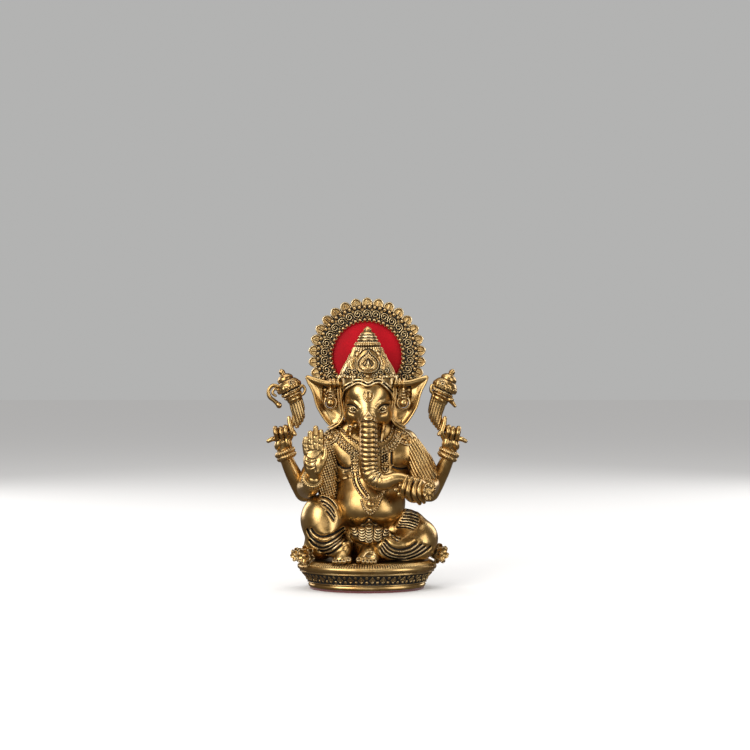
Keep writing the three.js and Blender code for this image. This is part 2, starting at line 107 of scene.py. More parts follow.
# ------------------------------------------------------------------ curves
def smooth_path(points, steps=8):
    """A Catmull-Rom curve through the points, which may carry a radius as a last number."""
    p = np.array(points, float)
    p = np.vstack([2 * p[0] - p[1], p, 2 * p[-1] - p[-2]])
    t = np.linspace(0, 1, steps, endpoint=False)[:, None]
    spans = [
        0.5 * (2 * b + (c - a) * t + (2 * a - 5 * b + 4 * c - d) * t**2 + (3 * b - a - 3 * c + d) * t**3)
        for a, b, c, d in zip(p, p[1:], p[2:], p[3:])
    ]
    return np.vstack([*spans, p[-2][None]])


class Line:
    """A curve in the front view, and for each point of a grid: how far off it is, how far along
    and on which side."""

    def __init__(self, x, z, points, steps=6):
        path = smooth_path(points, steps)
        shape = np.broadcast_shapes(x.shape, z.shape)
        self.off = np.full(shape, 1e3, np.float32)
        self.along = np.zeros(shape, np.float32)
        self.side = np.ones(shape, np.float32)
        start = 0.0
        for (ax, az), (bx, bz) in zip(path, path[1:]):
            ux, uz = bx - ax, bz - az
            length = math.hypot(ux, uz)
            if length < 1e-6:
                continue
            t = np.clip(((x - ax) * ux + (z - az) * uz) / length**2, 0, 1)
            dx, dz = x - ax - t * ux, z - az - t * uz
            off = np.hypot(dx, dz)
            near = off < self.off
            self.off = np.where(near, off, self.off)
            self.along = np.where(near, start + t * length, self.along)
            self.side = np.where(near, np.sign(ux * dz - uz * dx), self.side)
            start += length
        self.length = start
        self.across = self.off * self.side


def groove(off, width):
    """1 on a line and 0 well away from it."""
    return np.exp(-((off / width) ** 2))


def step(value, low, high):
    """0 below low, 1 above high, smooth between."""
    t = np.clip((value - low) / (high - low), 0, 1)
    return t * t * (3 - 2 * t)


def inside(x, z, corners, soft=1.0):
    """1 inside a closed outline in the front view, 0 outside, smooth over soft millimetres."""
    shape = np.broadcast_shapes(x.shape, z.shape)
    off = np.full(shape, 1e3, np.float32)
    odd = np.zeros(shape, bool)
    for (ax, az), (bx, bz) in zip(corners, corners[1:] + corners[:1]):
        ux, uz = bx - ax, bz - az
        t = np.clip(((x - ax) * ux + (z - az) * uz) / (ux * ux + uz * uz + 1e-9), 0, 1)
        off = np.minimum(off, np.hypot(x - ax - t * ux, z - az - t * uz))
        crosses = ((az > z) != (bz > z)) & (x < ax + (z - az) * ux / (uz + 1e-9))
        odd ^= crosses
    return step(np.where(odd, off, -off), -soft / 2, soft / 2)


def beads(along, across, pitch, radius):
    """Round beads in a row."""
    u = (along % pitch) - pitch / 2
    return np.sqrt(np.clip(radius**2 - u**2 - across**2, 0, None))


def spiral(u, v, radius, turns, hand=1, wire=0.55):
    """A raised spiral of round wire, about the point where u and v are 0."""
    reach = np.hypot(u, v)
    lane = radius / turns
    lap = reach / lane - hand * np.arctan2(v, u) / (2 * np.pi)
    off = np.abs(lap - np.round(lap)) * lane
    return groove(off, wire) * step(radius - reach, -0.1, 0.4)


# ------------------------------------------------------------------ clay
def rotation(turn):
    """The matrix that turns by these degrees about X, then Y, then Z."""
    x, y, z = (Matrix.Rotation(math.radians(a), 3, n) for a, n in zip(turn, "XYZ"))
    return np.array(z @ y @ x)


def meld(a, b, blend):
    """The nearer of two distances, with a rounded fillet of about the blend where they meet."""
    low = np.minimum(a, b)
    if blend <= 0:
        return low
    share = np.clip(blend - np.abs(a - b), 0, None) / blend
    return low - share * share * blend / 4


def spread(flat):
    """A front-view grid as a block that is the same at every depth; a block stays as it is."""
    return flat[:, None, :] if np.ndim(flat) == 2 else flat


def sided(side, points, middle_x=0.0):
    """Points [x from the middle, ...] of one half, put on the right (-1) or the left (1) side."""
    return [(middle_x + side * x, *rest) for x, *rest in points]


class Clay:
    """A block of clay: distance to the surface on a grid, in mm, negative inside."""

    def __init__(self, low, high, grain):
        self.grain = grain
        self.axes = [np.arange(a, b + grain, grain, dtype=np.float32) for a, b in zip(low, high)]
        self.d = np.full([len(a) for a in self.axes], FAR, np.float32)
        shapes = ((-1, 1, 1), (1, -1, 1), (1, 1, -1))
        self.x, self.y, self.z = (a.reshape(s) for a, s in zip(self.axes, shapes))

    @classmethod
    def around(cls, node, grain, margin=3.0):
        """A block round a CAD node, with this much room beside it in mm."""
        low, high = box_mm(node)
        return cls(low - margin, high + margin, grain)

    def like(self):
        """Another empty block on the same grid."""
        return Clay([a[0] for a in self.axes], [a[-1] - self.grain / 2 for a in self.axes], self.grain)

    def window(self, low, high, pad):
        """The part of the grid that lies between two corners, with room round it."""
        spans = []
        for axis, a, b in zip(self.axes, low, high):
            spans.append(slice(*np.searchsorted(axis, (a - pad, b + pad))))
        x, y, z = self.x[spans[0]], self.y[:, spans[1]], self.z[:, :, spans[2]]
        return tuple(spans), x, y, z

    def put(self, spans, distance, blend, cut):
        """Adds a shape to the clay or cuts it away."""
        if 0 in self.d[spans].shape:
            return
        if cut:
            self.d[spans] = -meld(-self.d[spans], distance, blend)
        else:
            self.d[spans] = meld(self.d[spans], distance, blend)

    def ball(self, centre, radii, turn=(0, 0, 0), blend=0.0, cut=False):
        """An ellipsoid, added with a fillet or cut away."""
        m, centre = rotation(turn), np.array(centre, float)
        radii = np.broadcast_to(radii, 3).astype(float)
        reach = np.sqrt((m**2) @ radii**2)
        spans, x, y, z = self.window(centre - reach, centre + reach, blend + 3 * self.grain + 0.5)
        x, y, z = x - centre[0], y - centre[1], z - centre[2]
        u, v, w = (m[0, i] * x + m[1, i] * y + m[2, i] * z for i in range(3))
        near = np.sqrt((u / radii[0]) ** 2 + (v / radii[1]) ** 2 + (w / radii[2]) ** 2)
        far = np.sqrt((u / radii[0] ** 2) ** 2 + (v / radii[1] ** 2) ** 2 + (w / radii[2] ** 2) ** 2)
        self.put(spans, near * (near - 1) / (far + 1e-6), blend, cut)
        return self

    def tube(self, stations, blend=0.0, cut=False, steps=5, flat=None, ripple=None):
        """A round tube through [x, y, z, radius] stations. flat squeezes it along one axis about
        its first station, as (axis number, share). ripple(along, x, y, z) is added to its radius."""
        path = smooth_path(stations, steps)
        pad = blend + 3 * self.grain + 1.0
        low = (path[:, :3] - path[:, 3:]).min(0)
        high = (path[:, :3] + path[:, 3:]).max(0)
        spans, x, y, z = self.window(low, high, pad)
        shape = self.d[spans].shape
        if 0 in shape:
            return self
        best = np.full(shape, FAR, np.float32)
        along = np.zeros(shape, np.float32) if ripple else None
        offsets = [s.start for s in spans]
        start = 0.0
        for a, b in zip(path, path[1:]):
            seg_low = np.minimum(a[:3] - a[3], b[:3] - b[3])
            seg_high = np.maximum(a[:3] + a[3], b[:3] + b[3])
            part, px, py, pz = self.window(seg_low, seg_high, pad)
            local = tuple(
                slice(max(s.start - o, 0), min(s.stop - o, n)) for s, o, n in zip(part, offsets, shape)
            )
            span = b[:3] - a[:3]
            length = float(np.linalg.norm(span))
            if length < 1e-6:
                continue
            dx, dy, dz = px - a[0], py - a[1], pz - a[2]
            t = np.clip((dx * span[0] + dy * span[1] + dz * span[2]) / length**2, 0, 1)
            ox, oy, oz = dx - t * span[0], dy - t * span[1], dz - t * span[2]
            if flat:
                scale = [1.0, 1.0, 1.0]
                scale[flat[0]] = flat[1]
                ox, oy, oz = ox / scale[0], oy / scale[1], oz / scale[2]
            off = np.sqrt(ox * ox + oy * oy + oz * oz) - (a[3] + t * (b[3] - a[3]))
            if flat:
                off = off * min(1.0, flat[1] * 1.2)
            near = off < best[local]
            best[local] = np.where(near, off, best[local])
            if ripple:
                along[local] = np.where(near, start + t * length, along[local])
            start += length
        if ripple:
            best = best - ripple(along, x, y, z)
        self.put(spans, best, blend, cut)
        return self

    def block(self, low, high, blend=0.0, cut=False, round_by=0.0):
        """An upright box, with its edges rounded."""
        low, high = np.array(low, float), np.array(high, float)
        spans, x, y, z = self.window(low, high, blend + 3 * self.grain)
        centre, half = (low + high) / 2, (high - low) / 2 - round_by
        q = [np.abs(p - c) - h for p, c, h in zip((x, y, z), centre, half)]
        outer = np.sqrt(sum(np.clip(a, 0, None) ** 2 for a in q))
        inner = np.minimum(np.maximum(np.maximum(q[0], q[1]), q[2]), 0)
        self.put(spans, outer + inner - round_by, blend, cut)
        return self

    def raise_by(self, height, low_y=-1e3, high_y=1e3, soft=3.0):
        """Moves the surface out by a height in mm, where y is in the range."""
        share = step(self.y, low_y - soft / 2, low_y + soft / 2) * (
            1 - step(self.y, high_y - soft / 2, high_y + soft / 2)
        )
        self.d -= (spread(height) * share).astype(np.float32)
        return self

    def front_line(self, points, steps=6):
        """A curve in the front view, measured over the whole grid."""
        return Line(self.x[:, 0, :], self.z[:, 0, :], points, steps)

    def engrave(self, lines, width, depth, high_y, taper=1.5):
        """Cuts tapered grooves along lines in the front view, on faces in front of high_y."""
        total = 0
        for points in lines:
            line = self.front_line(points)
            ends = step(line.along, -0.01, taper) * (
                1 - step(line.along, line.length - taper, line.length + 0.01)
            )
            shape = 0.65 * groove(line.off, width) + 0.35 * groove(line.off, 2.6 * width)
            total = np.maximum(total, shape * ends)
        self.raise_by(-depth * total, high_y=high_y)
        return self

    def on_front(self, points, lift=0.0):
        """Stations [x, y, z, radius] on the front of the clay for [x, z, radius] points."""
        solid = self.d < 0
        first = np.argmax(solid, axis=1)
        first = np.where(solid.any(axis=1), first, len(self.axes[1]) - 1)
        stations = []
        for x, z, radius in points:
            i, k = (
                int(np.clip(round((v - a[0]) / self.grain), 0, len(a) - 1))
                for v, a in ((x, self.axes[0]), (z, self.axes[2]))
            )
            stations.append((x, float(self.axes[1][first[i, k]]) - lift, z, radius))
        return stations

    def ridge(self, points, blend=0.4, lift=0.0, steps=4):
        """A raised cord along [x, z, radius] points on the front of the clay."""
        return self.tube(self.on_front(smooth_path(points, steps), lift), blend, steps=1)

    def bead(self, x, z, radius, lift=0.0, blend=0.2):
        """A round bead on the front of the clay."""
        x, y, z, radius = self.on_front([(x, z, radius)], lift)[0]
        return self.ball((x, y, z), radius, blend=blend)

    def overlay(self, under, height, mask, low_y=-1e3, high_y=1e3, sink=0.9):
        """A skin that lies on another block's surface: height is in mm and mask is a distance,
        negative where the skin is."""
        shell = np.maximum(under.d - spread(height), -under.d - sink)
        cover = np.maximum(np.maximum(shell, spread(mask)), np.maximum(low_y - self.y, self.y - high_y))
        self.d = np.minimum(self.d, cover.astype(np.float32))
        return self


# ------------------------------------------------------------------ casting clay as a mesh
def mesh_from(name, points, faces):
    """A mesh from arrays of points and of triangles or quads, in metres."""
    mesh = bpy.data.meshes.new(name)
    corners = faces.shape[1]
    mesh.vertices.add(len(points))
    mesh.vertices.foreach_set("co", np.ascontiguousarray(points, np.float32).ravel())
    mesh.loops.add(faces.size)
    mesh.loops.foreach_set("vertex_index", np.ascontiguousarray(faces, np.int32).ravel())
    mesh.polygons.add(len(faces))
    mesh.polygons.foreach_set("loop_start", np.arange(0, faces.size, corners, dtype=np.int32))
    mesh.polygons.foreach_set("use_smooth", np.ones(len(faces), bool))
    mesh.update(calc_edges=True)
    mesh.validate()
    return mesh


def blurred(block, reach):
    """The block averaged twice over a cube this many cells each way."""
    for axis in (0, 1, 2, 0, 1, 2):
        total = np.cumsum(block, axis, dtype=np.float32)
        size = block.shape[axis]
        if size <= 2 * reach + 1:
            continue
        ahead = np.take(total, np.minimum(np.arange(size) + reach, size - 1), axis)
        behind = np.take(total, np.maximum(np.arange(size) - reach - 1, 0), axis)
        block = (ahead - behind) / (2 * reach + 1)
    return block


def sampled(block, points):
    """Values of the block at points given in cells."""
    top = np.array(block.shape) - 2
    cell = np.clip(np.floor(points).astype(int), 0, top)
    f = np.clip(points - cell, 0, 1)
    total = 0
    for corner in np.ndindex(2, 2, 2):
        weight = np.prod(np.where(corner, f, 1 - f), axis=1)
        total = total + weight * block[tuple((cell + corner).T)]
    return total


def mark_hollows(mesh, block, points, grain):
    """Stores how sunken each vertex is at two scales, as the attributes that the patina and the painted
    highlight on ridges follow.
    """
    for name, size in (("crease", 0.45), ("hollow", 1.5)):
        reach = max(1, round(size / grain))
        sunken = -sampled(blurred(block, reach), points) / size
        layer = mesh.attributes.new(name, "FLOAT", "POINT")
        layer.data.foreach_set("value", sunken.astype(np.float32))


def place(name, mesh, nodes, material):
    """Puts a finished mesh in the scene for the CAD nodes that it stands for."""
    piece = bpy.data.objects.new(name, mesh)
    bpy.context.scene.collection.objects.link(piece)
    piece.data.materials.append(material)
    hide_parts(*nodes)
    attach(piece, NODE_BODY[nodes[0]])
    return piece


def cast(clay, node, material=None):
    """Casts the clay in metal, as the piece that stands for a CAD node."""
    d = np.clip(clay.d, -3, 3)
    for axis in range(3):
        edge = [slice(None)] * 3
        for end in (0, -1):
            edge[axis] = end
            d[tuple(edge)] = np.maximum(d[tuple(edge)], clay.grain)
    grid = openvdb.FloatGrid(3.0)
    grid.copyFromArray(d)
    cells, quads = grid.convertToQuads()
    points = cells * clay.grain + np.array([a[0] for a in clay.axes])
    mesh = mesh_from(node + "_casting", points * MM, quads)
    mark_hollows(mesh, d, cells, clay.grain)
    return place(node + "_casting", mesh, [node], material or BRASS)


# ------------------------------------------------------------------ materials
def new_material(name):
    """An empty material, its tree and its main shader."""
    material = bpy.data.materials.new(name)
    material.use_nodes = True
    tree = material.node_tree
    return material, tree, tree.nodes["Principled BSDF"]


def node(tree, kind, inputs=None, **settings):
    """A new node with its inputs and settings."""
    made = tree.nodes.new(kind)
    for key, value in settings.items():
        setattr(made, key, value)
    for key, value in (inputs or {}).items():
        made.inputs[key].default_value = value
    return made


def noise(tree, coords, scale, detail=4.0, roughness=0.55):
    """A cloudy noise, from 0 to 1."""
    made = node(tree, "ShaderNodeTexNoise", {"Scale": scale, "Detail": detail, "Roughness": roughness})
    tree.links.new(coords, made.inputs["Vector"])
    return made.outputs["Fac"]


def ramp(tree, value, stops):
    """A colour ramp through (position, colour) stops."""
    made = node(tree, "ShaderNodeValToRGB")
    elements = made.color_ramp.elements
    while len(elements) < len(stops):
        elements.new(0.5)
    for element, (position, colour) in zip(elements, stops):
        element.position = position
        element.color = (*colour, 1)
    tree.links.new(value, made.inputs["Fac"])
    return made.outputs["Color"]


def remap(tree, value, from_low, from_high, to_low=0.0, to_high=1.0):
    """A value moved smoothly from one range to another."""
    made = node(
        tree,
        "ShaderNodeMapRange",
        {"From Min": from_low, "From Max": from_high, "To Min": to_low, "To Max": to_high},
        interpolation_type="SMOOTHSTEP",
    )
    tree.links.new(value, made.inputs["Value"])
    return made.outputs["Result"]


def maths(tree, operation, a, b):
    """A sum of two numbers or sockets."""
    made = node(tree, "ShaderNodeMath", operation=operation)
    for socket, value in zip(made.inputs, (a, b)):
        if isinstance(value, (int, float)):
            socket.default_value = value
        else:
            tree.links.new(value, socket)
    return made.outputs["Value"]


def antique_brass(name, patina=0.0):
    """Polished brass on whatever stands proud, with rubbed wear and a painted highlight in pale brass
    along ridges and edges, and dark brown patina left in whatever is sunken.
    """
    material, tree, shader = new_material(name)
    link = tree.links.new
    coords = node(tree, "ShaderNodeTexCoord").outputs["Object"]
    crease = node(tree, "ShaderNodeAttribute", attribute_name="crease").outputs["Fac"]
    hollow = node(tree, "ShaderNodeAttribute", attribute_name="hollow").outputs["Fac"]
    shade = node(tree, "ShaderNodeAmbientOcclusion", {"Distance": 0.0028}, samples=8)
    crowded = remap(tree, maths(tree, "SUBTRACT", 1.0, shade.outputs["AO"]), 0.3, 0.95, 0.0, 0.55)
    blotches = noise(tree, coords, 110, 5)
    clouds = noise(tree, coords, 34, 3)
    grain = noise(tree, coords, 1500, 3)
    sunken = maths(
        tree, "ADD", remap(tree, crease, 0.08, 0.62), remap(tree, hollow, 0.06, 0.42, 0.0, 0.62)
    )
    sunken = maths(tree, "ADD", sunken, crowded)
    uneven = maths(tree, "MULTIPLY", maths(tree, "SUBTRACT", blotches, 0.5 - patina), 0.7)
    dirt = remap(tree, maths(tree, "ADD", sunken, uneven), 0.14, 0.86)
    # painted highlight: pale brass laid on ridges and edges, partly real rubbed wear on high points and
    # partly painted highlight
    wear_and_highlight = remap(tree, crease, -0.14, -0.6, 0.0, 0.7)
    stops = [(0.30, (0.270, 0.135, 0.036)), (0.46, (0.430, 0.262, 0.090)), (0.64, (0.600, 0.415, 0.175))]
    polish = ramp(
        tree,
        maths(
            tree, "ADD", maths(tree, "MULTIPLY", blotches, 0.45), maths(tree, "MULTIPLY", clouds, 0.55)
        ),
        stops
    )
    bright = node(tree, "ShaderNodeMix", data_type="RGBA")
    # colour of the painted highlight and rubbed wear on ridges
    bright.inputs[7].default_value = (0.90, 0.74, 0.44, 1)
    link(wear_and_highlight, bright.inputs["Factor"])
    link(polish, bright.inputs[6])
    colour = node(tree, "ShaderNodeMix", data_type="RGBA")
    colour.inputs[7].default_value = (0.008, 0.006, 0.004, 1)
    link(dirt, colour.inputs["Factor"])
    link(bright.outputs[2], colour.inputs[6])
    link(colour.outputs[2], shader.inputs["Base Color"])
    link(remap(tree, dirt, 0.2, 1.0, 1.0, 0.3), shader.inputs["Metallic"])
    rough = maths(
        tree, "ADD", remap(tree, dirt, 0.0, 1.0, 0.21, 0.62), maths(tree, "MULTIPLY", blotches, 0.16)
    )
    link(rough, shader.inputs["Roughness"])
    bump = node(tree, "ShaderNodeBump", {"Strength": 0.3, "Distance": 0.0003})
    link(maths(tree, "ADD", maths(tree, "MULTIPLY", grain, 0.35), blotches), bump.inputs["Height"])
    link(bump.outputs["Normal"], shader.inputs["Normal"])
    shader.inputs["Coat Weight"].default_value = 0.15
    shader.inputs["Coat Roughness"].default_value = 0.12
    return material


def red_lacquer():
    """A deep red satin coat with faint brush marks."""
    material, tree, shader = new_material("red_satin_lacquer")
    coords = node(tree, "ShaderNodeTexCoord").outputs["Object"]
    cloud = noise(tree, coords, 60, 4)
    tree.links.new(
        ramp(tree, cloud, [(0.3, (0.30, 0.001, 0.006)), (0.7, (0.42, 0.002, 0.009))]),
        shader.inputs["Base Color"]
    )
    tree.links.new(remap(tree, cloud, 0.2, 0.8, 0.42, 0.58), shader.inputs["Roughness"])
    shader.inputs["Specular IOR Level"].default_value = 0.1
    bump = node(tree, "ShaderNodeBump", {"Strength": 0.15, "Distance": 0.0001})
    tree.links.new(noise(tree, coords, 2200, 2), bump.inputs["Height"])
    tree.links.new(bump.outputs["Normal"], shader.inputs["Normal"])
    return material


def felt():
    """Dark red felt: matt, fuzzy and slightly mottled."""
    material, tree, shader = new_material("dark_red_felt")
    coords = node(tree, "ShaderNodeTexCoord").outputs["Object"]
    fuzz = noise(tree, coords, 2600, 6, 0.7)
    tree.links.new(
        ramp(tree, fuzz, [(0.3, (0.05, 0.008, 0.010)), (0.7, (0.16, 0.03, 0.03))]),
        shader.inputs["Base Color"]
    )
    shader.inputs["Roughness"].default_value = 0.95
    shader.inputs["Sheen Weight"].default_value = 0.5
    bump = node(tree, "ShaderNodeBump", {"Strength": 0.8, "Distance": 0.0004})
    tree.links.new(fuzz, bump.inputs["Height"])
    tree.links.new(bump.outputs["Normal"], shader.inputs["Normal"])
    return material


def zinc_steel():
    """Zinc-plated steel with fine turning marks."""
    material, tree, shader = new_material("zinc_plated_steel")
    coords = node(tree, "ShaderNodeTexCoord").outputs["Object"]
    marks = noise(tree, coords, 900, 4)
    tree.links.new(
        ramp(tree, marks, [(0.3, (0.42, 0.42, 0.44)), (0.7, (0.62, 0.61, 0.58))]),
        shader.inputs["Base Color"]
    )
    shader.inputs["Metallic"].default_value = 1.0
    tree.links.new(remap(tree, marks, 0.2, 0.8, 0.25, 0.45), shader.inputs["Roughness"])
    return material


BRASS = antique_brass("antique_brass_patina")
DULL_BRASS = antique_brass("dull_brass_patina", 0.3)
LACQUER = red_lacquer()
FELT = felt()
STEEL = zinc_steel()


# ------------------------------------------------------------------ base
def base_plinth():
    """An oval foot that flares to a ribbed rim, hollow underneath, with a frieze round its side."""
    low, high = box_mm("base_plinth")
    rim, share = (high - low)[0] / 2, (high - low)[1] / (high - low)[0]
    turn = np.linspace(0, math.tau, 1320, endpoint=False)
    bottom, top = low[2], high[2]
    smooth = [
        (0, top - 5), (rim - 14, top - 5), (rim - 13.5, top - 5.5), (rim - 13.5, bottom),
        (rim - 9.4, bottom)
    ]
    smooth += [
        (rim - 8.9, bottom + 0.4), (rim - 8.4, bottom + 1.6), (rim - 9.0, bottom + 2.6),
        (rim - 9.3, bottom + 3.0)
    ]
    frieze = [
        (np.interp(z, (5, 9.5, 14.6), (rim - 8.7, rim - 6.7, rim - 1.9)), z)
        for z in np.arange(5.0, 14.61, 0.28)
    ]
    lip = [
        (rim - 2.2, 14.9), (rim - 1.9, 15.2), (rim - 0.5, 15.9), (rim, 16.6), (rim, 18.6),
        (rim - 0.4, 19.1)
    ]
    bevel = [(rim - 0.7 - 5.4 * k, 19.2 + 2.6 * k) for k in np.linspace(0, 1, 12)]
    flat = [(rim - 6.3, top - 0.1), (rim - 6.8, top), (rim * 0.6, top), (rim * 0.2, top), (0, top)]
    kinds = [0] * len(smooth) + [1] * len(frieze) + [0] * len(lip) + [2] * len(bevel) + [0] * len(flat)
    rows, depths = [], []
    for (radius, z), kind in zip(smooth + frieze + lip + bevel + flat, kinds):
        relief, depth = np.zeros_like(turn), np.zeros_like(turn)
        if kind == 1:
            relief = frieze_relief(turn * 48, z - 9.8)
            depth = 0.62 - relief
        if kind == 2:
            edge = min((rim - 0.7 - radius) / 0.6, (radius - rim + 6.1) / 0.6, 1)
            relief = 1.1 * np.abs(np.sin(turn * 82.5)) ** 0.7 * edge
            depth = 0.85 * edge - relief
        out = radius + (relief if kind == 1 else 0)
        up = z + (relief if kind == 2 else 0)
        rows.append(np.stack((out * np.cos(turn), out * share * np.sin(turn), up + 0 * turn), -1))
        depths.append(depth)
    points, tris = skin(np.array(rows))
    mesh = mesh_from("base_plinth_casting", points * MM, tris)
    sunken = np.concatenate(depths)
    # the relief's depth, which the patina in recesses and the painted highlight on ridges follow
    for name, scale in (("crease", 1.1), ("hollow", 0.5)):
        mesh.attributes.new(name, "FLOAT", "POINT").data.foreach_set(
            "value", (sunken * scale).astype(np.float32)
        )
    return place("base_plinth_casting", mesh, ["base_plinth"], BRASS)


def frieze_relief(along, v):
    """Lozenges, rings and paired beads between two fillets, in mm of relief."""
    pitch = 48 * math.tau / 36
    u = (along % pitch) - pitch / 2
    lozenge = 1 - (np.abs(u) / 2.7 + np.abs(v) / 3.2)
    leaf = 0.85 * step(lozenge, 0.0, 0.22) - 0.7 * groove(np.hypot(u, v) - 1.2, 0.4)
    half = ((along + pitch / 2) % pitch) - pitch / 2
    dots = np.sqrt(np.clip(1.0 - (half / 1.2) ** 2 - ((np.abs(v) - 1.9) / 1.2) ** 2, 0, None))
    ridges = 0.8 * (groove(v - 4.2, 0.4) + groove(v + 4.3, 0.4))
    return np.maximum.reduce([leaf, dots * 0.9, ridges + 0 * along])


def turned_disc(node_name, axis, material, easing=0.4, around=256):
    """A flat round or oval plate with eased edges, about one of the frame's axes."""
    low, high = box_mm(node_name)
    centre, half = (low + high) / 2, (high - low) / 2
    thick = half[axis]
    profile = [(0, -1), (1 - easing / half.max(), -1)]
    profile += [
        (1 - easing / half.max() * (1 - math.sin(t)), -1 + easing / thick * (1 - math.cos(t)))
        for t in (0.5, 1.0, 1.57)
    ]
    profile += [(share, -side) for share, side in reversed(profile)]
    turn = np.linspace(0, math.tau, around, endpoint=False)
    spread = [i for i in range(3) if i != axis]
    rows = np.zeros((len(profile), around, 3)) + centre
    for row, (share, side) in zip(rows, profile):
        row[:, spread[0]] += half[spread[0]] * share * np.cos(turn)
        row[:, spread[1]] += half[spread[1]] * share * np.sin(turn) * (-1 if axis == 1 else 1)
        row[:, axis] += thick * side
    points, tris = skin(rows)
    return place(
        node_name + "_plate", mesh_from(node_name + "_plate", points * MM, tris), [node_name], material,
    )


def felt_pad():
    return turned_disc("felt_pad", 2, FELT)


# ------------------------------------------------------------------ halo
HALO_LOW, HALO_HIGH = box_mm("halo_ring")
HALO_MIDDLE = (HALO_LOW + HALO_HIGH) / 2
HALO_RADIUS = (HALO_HIGH - HALO_LOW)[0] / 2
HALO_HOLE = 27.5  # radius of the opening that the disc closes
PETALS = 30


def halo_ring():
    """A cast plate: pointed petals round the rim, two rows of beads and running scrolls between."""
    clay = Clay.around("halo_ring", 0.26 * COARSE, 1.5)
    x, z = clay.x[:, 0, :] - HALO_MIDDLE[0], clay.z[:, 0, :] - HALO_MIDDLE[2]
    reach, turn = np.hypot(x, z), np.arctan2(x, z)
    belly = HALO_RADIUS - 4.5  # where a petal is widest

    def off_place(radius, count, shift=0.0):
        """How far along the ring from the nearest of so many places."""
        lap = turn * count / math.tau - shift
        return (lap - np.round(lap)) * math.tau / count * radius

    def petal(half_width, half_length, drop=0.0):
        u, v = off_place(reach, PETALS), reach - belly + drop
        length = np.where(v > 0, half_length, 7.0)
        return (1 - np.sqrt((np.abs(u) / half_width) ** 1.7 + (np.abs(v) / length) ** 1.9)) * half_width

    deep = petal(4.45, 4.5)
    outline = np.minimum(-deep, reach - belly)
    outline = np.maximum(outline, HALO_HOLE - reach)
    rim = 0.9 * groove(deep - 0.55, 0.5)
    vein = 0.7 * groove(off_place(reach, PETALS), 0.5) * (1 - step(reach, belly + 1.6, belly + 2.6))
    petals = (
        0.4 * step(deep, 0.0, 0.4) + np.maximum(rim, vein)
    ) * (deep > 0) * step(reach, belly - 2.4, belly - 1.8)

    def bead_row(radius, count, size):
        along = off_place(radius, count, 0.5)
        return np.sqrt(np.clip(size**2 - along**2 - (reach - radius) ** 2, 0, None)) * 1.35

    inner_beads_at, scroll_at, outer_beads_at = 29.3, 34.3, 39.5
    scrolls = 30
    pitch = scroll_at * math.tau / scrolls
    along, across = off_place(scroll_at, scrolls), reach - scroll_at
    curl = []
    for lap in np.linspace(0, 1, 20):
        arm, angle = 0.75 + 2.0 * lap, math.pi * (0.5 + 2.5 * (1 - lap))
        curl.append((arm * math.cos(angle) - 0.3, arm * math.sin(angle)))
    curl += [(1.4, 2.3), (2.6, 1.3), (3.1, -0.4), (3.6, -2.6)]
    off = np.minimum.reduce([Line(along + k * pitch, across, curl, 2).off for k in (-1, 0, 1)])
    wire = 1.9 * np.sqrt(np.clip(1 - (off / 0.62) ** 2, 0, None))
    field = np.where((reach > 31.0) & (reach < 37.6), wire, 0)
    height = np.maximum.reduce(
        [petals, field, bead_row(outer_beads_at, PETALS * 2, 1.62), bead_row(inner_beads_at, 48, 1.62)]
    )
    front = HALO_LOW[1] + 1.4
    face = front - height[:, None, :] - clay.y
    back = clay.y - HALO_HIGH[1]
    clay.d = np.maximum(np.maximum(face * 0.75, back), outline[:, None, :]).astype(np.float32)
    return cast(clay, "halo_ring", DULL_BRASS)


def halo_disc():
    """The flat lacquered plate behind the opening."""
    return turned_disc("halo_disc", 1, LACQUER, easing=0.3)


def plain_fitting(node_name, material=None, round_by=0.6):
    """A filed strap: the node's own box with eased edges."""
    low, high = box_mm(node_name)
    clay = Clay.around(node_name, MEDIUM, 1.5).block(low, high, round_by=round_by)
    return cast(clay, node_name, material)


def halo_bracket():
    """A folded socket with two screw ears; its slot takes the halo's tongue."""
    low, high = box_mm("halo_bracket")
    tongue_low, tongue_high = box_mm("halo_tongue")
    clay = Clay.around("halo_bracket", MEDIUM, 1.5)
    screw = middle("bracket_screw_left")
    wall = tongue_low[1] - low[1] - 1.6
    clay.block((-10.5, low[1], low[2]), (10.5, high[1], high[2]), round_by=0.9)
    clay.block(
        (low[0], low[1], screw[2] - 5.5), (high[0], low[1] + wall, screw[2] + 5.5), 1.2, round_by=0.7
    )
    slack = 0.35
    clay.block(
        (tongue_low[0] - slack, tongue_low[1] - slack, tongue_low[2] - slack),
        (tongue_high[0] + slack, tongue_high[1] + slack, high[2] + 5),
        cut=True,
    )
    for x in (-screw[0], screw[0]):
        clay.ball((x, screw[1], screw[2]), (1.8, 30, 1.8), cut=True)
    return cast(clay, "halo_bracket")


def round_head(node_name, material, slotted):
    """A domed rivet or a slotted screw, its head towards the back."""
    low, high = box_mm(node_name)
    centre, radius = (low + high) / 2, (high - low)[0] / 2
    head = radius * 0.55
    clay = Clay.around(node_name, 0.2 * COARSE, 0.8)
    reach = np.hypot(clay.x - centre[0], clay.z - centre[2])
    dome = np.sqrt(reach**2 + ((clay.y - high[1] + head) / head * radius) ** 2) - radius
    cap = np.maximum(dome * 0.6, high[1] - head - clay.y)
    shank = np.maximum(reach - radius * 0.54, np.maximum(low[1] - clay.y, clay.y - high[1] + head / 2))
    clay.d = np.minimum(cap, shank).astype(np.float32)
    if slotted:
        clay.block(
            centre + (-radius, 0, -0.35), (centre[0] + radius, high[1] + 1, centre[2] + 0.35), cut=True
        )
        spare = np.maximum(high[1] - head * 0.45 - clay.y, np.abs(clay.z - centre[2]) - 0.35)
        clay.d = np.maximum(clay.d, -spare).astype(np.float32)
    return cast(clay, node_name, material)


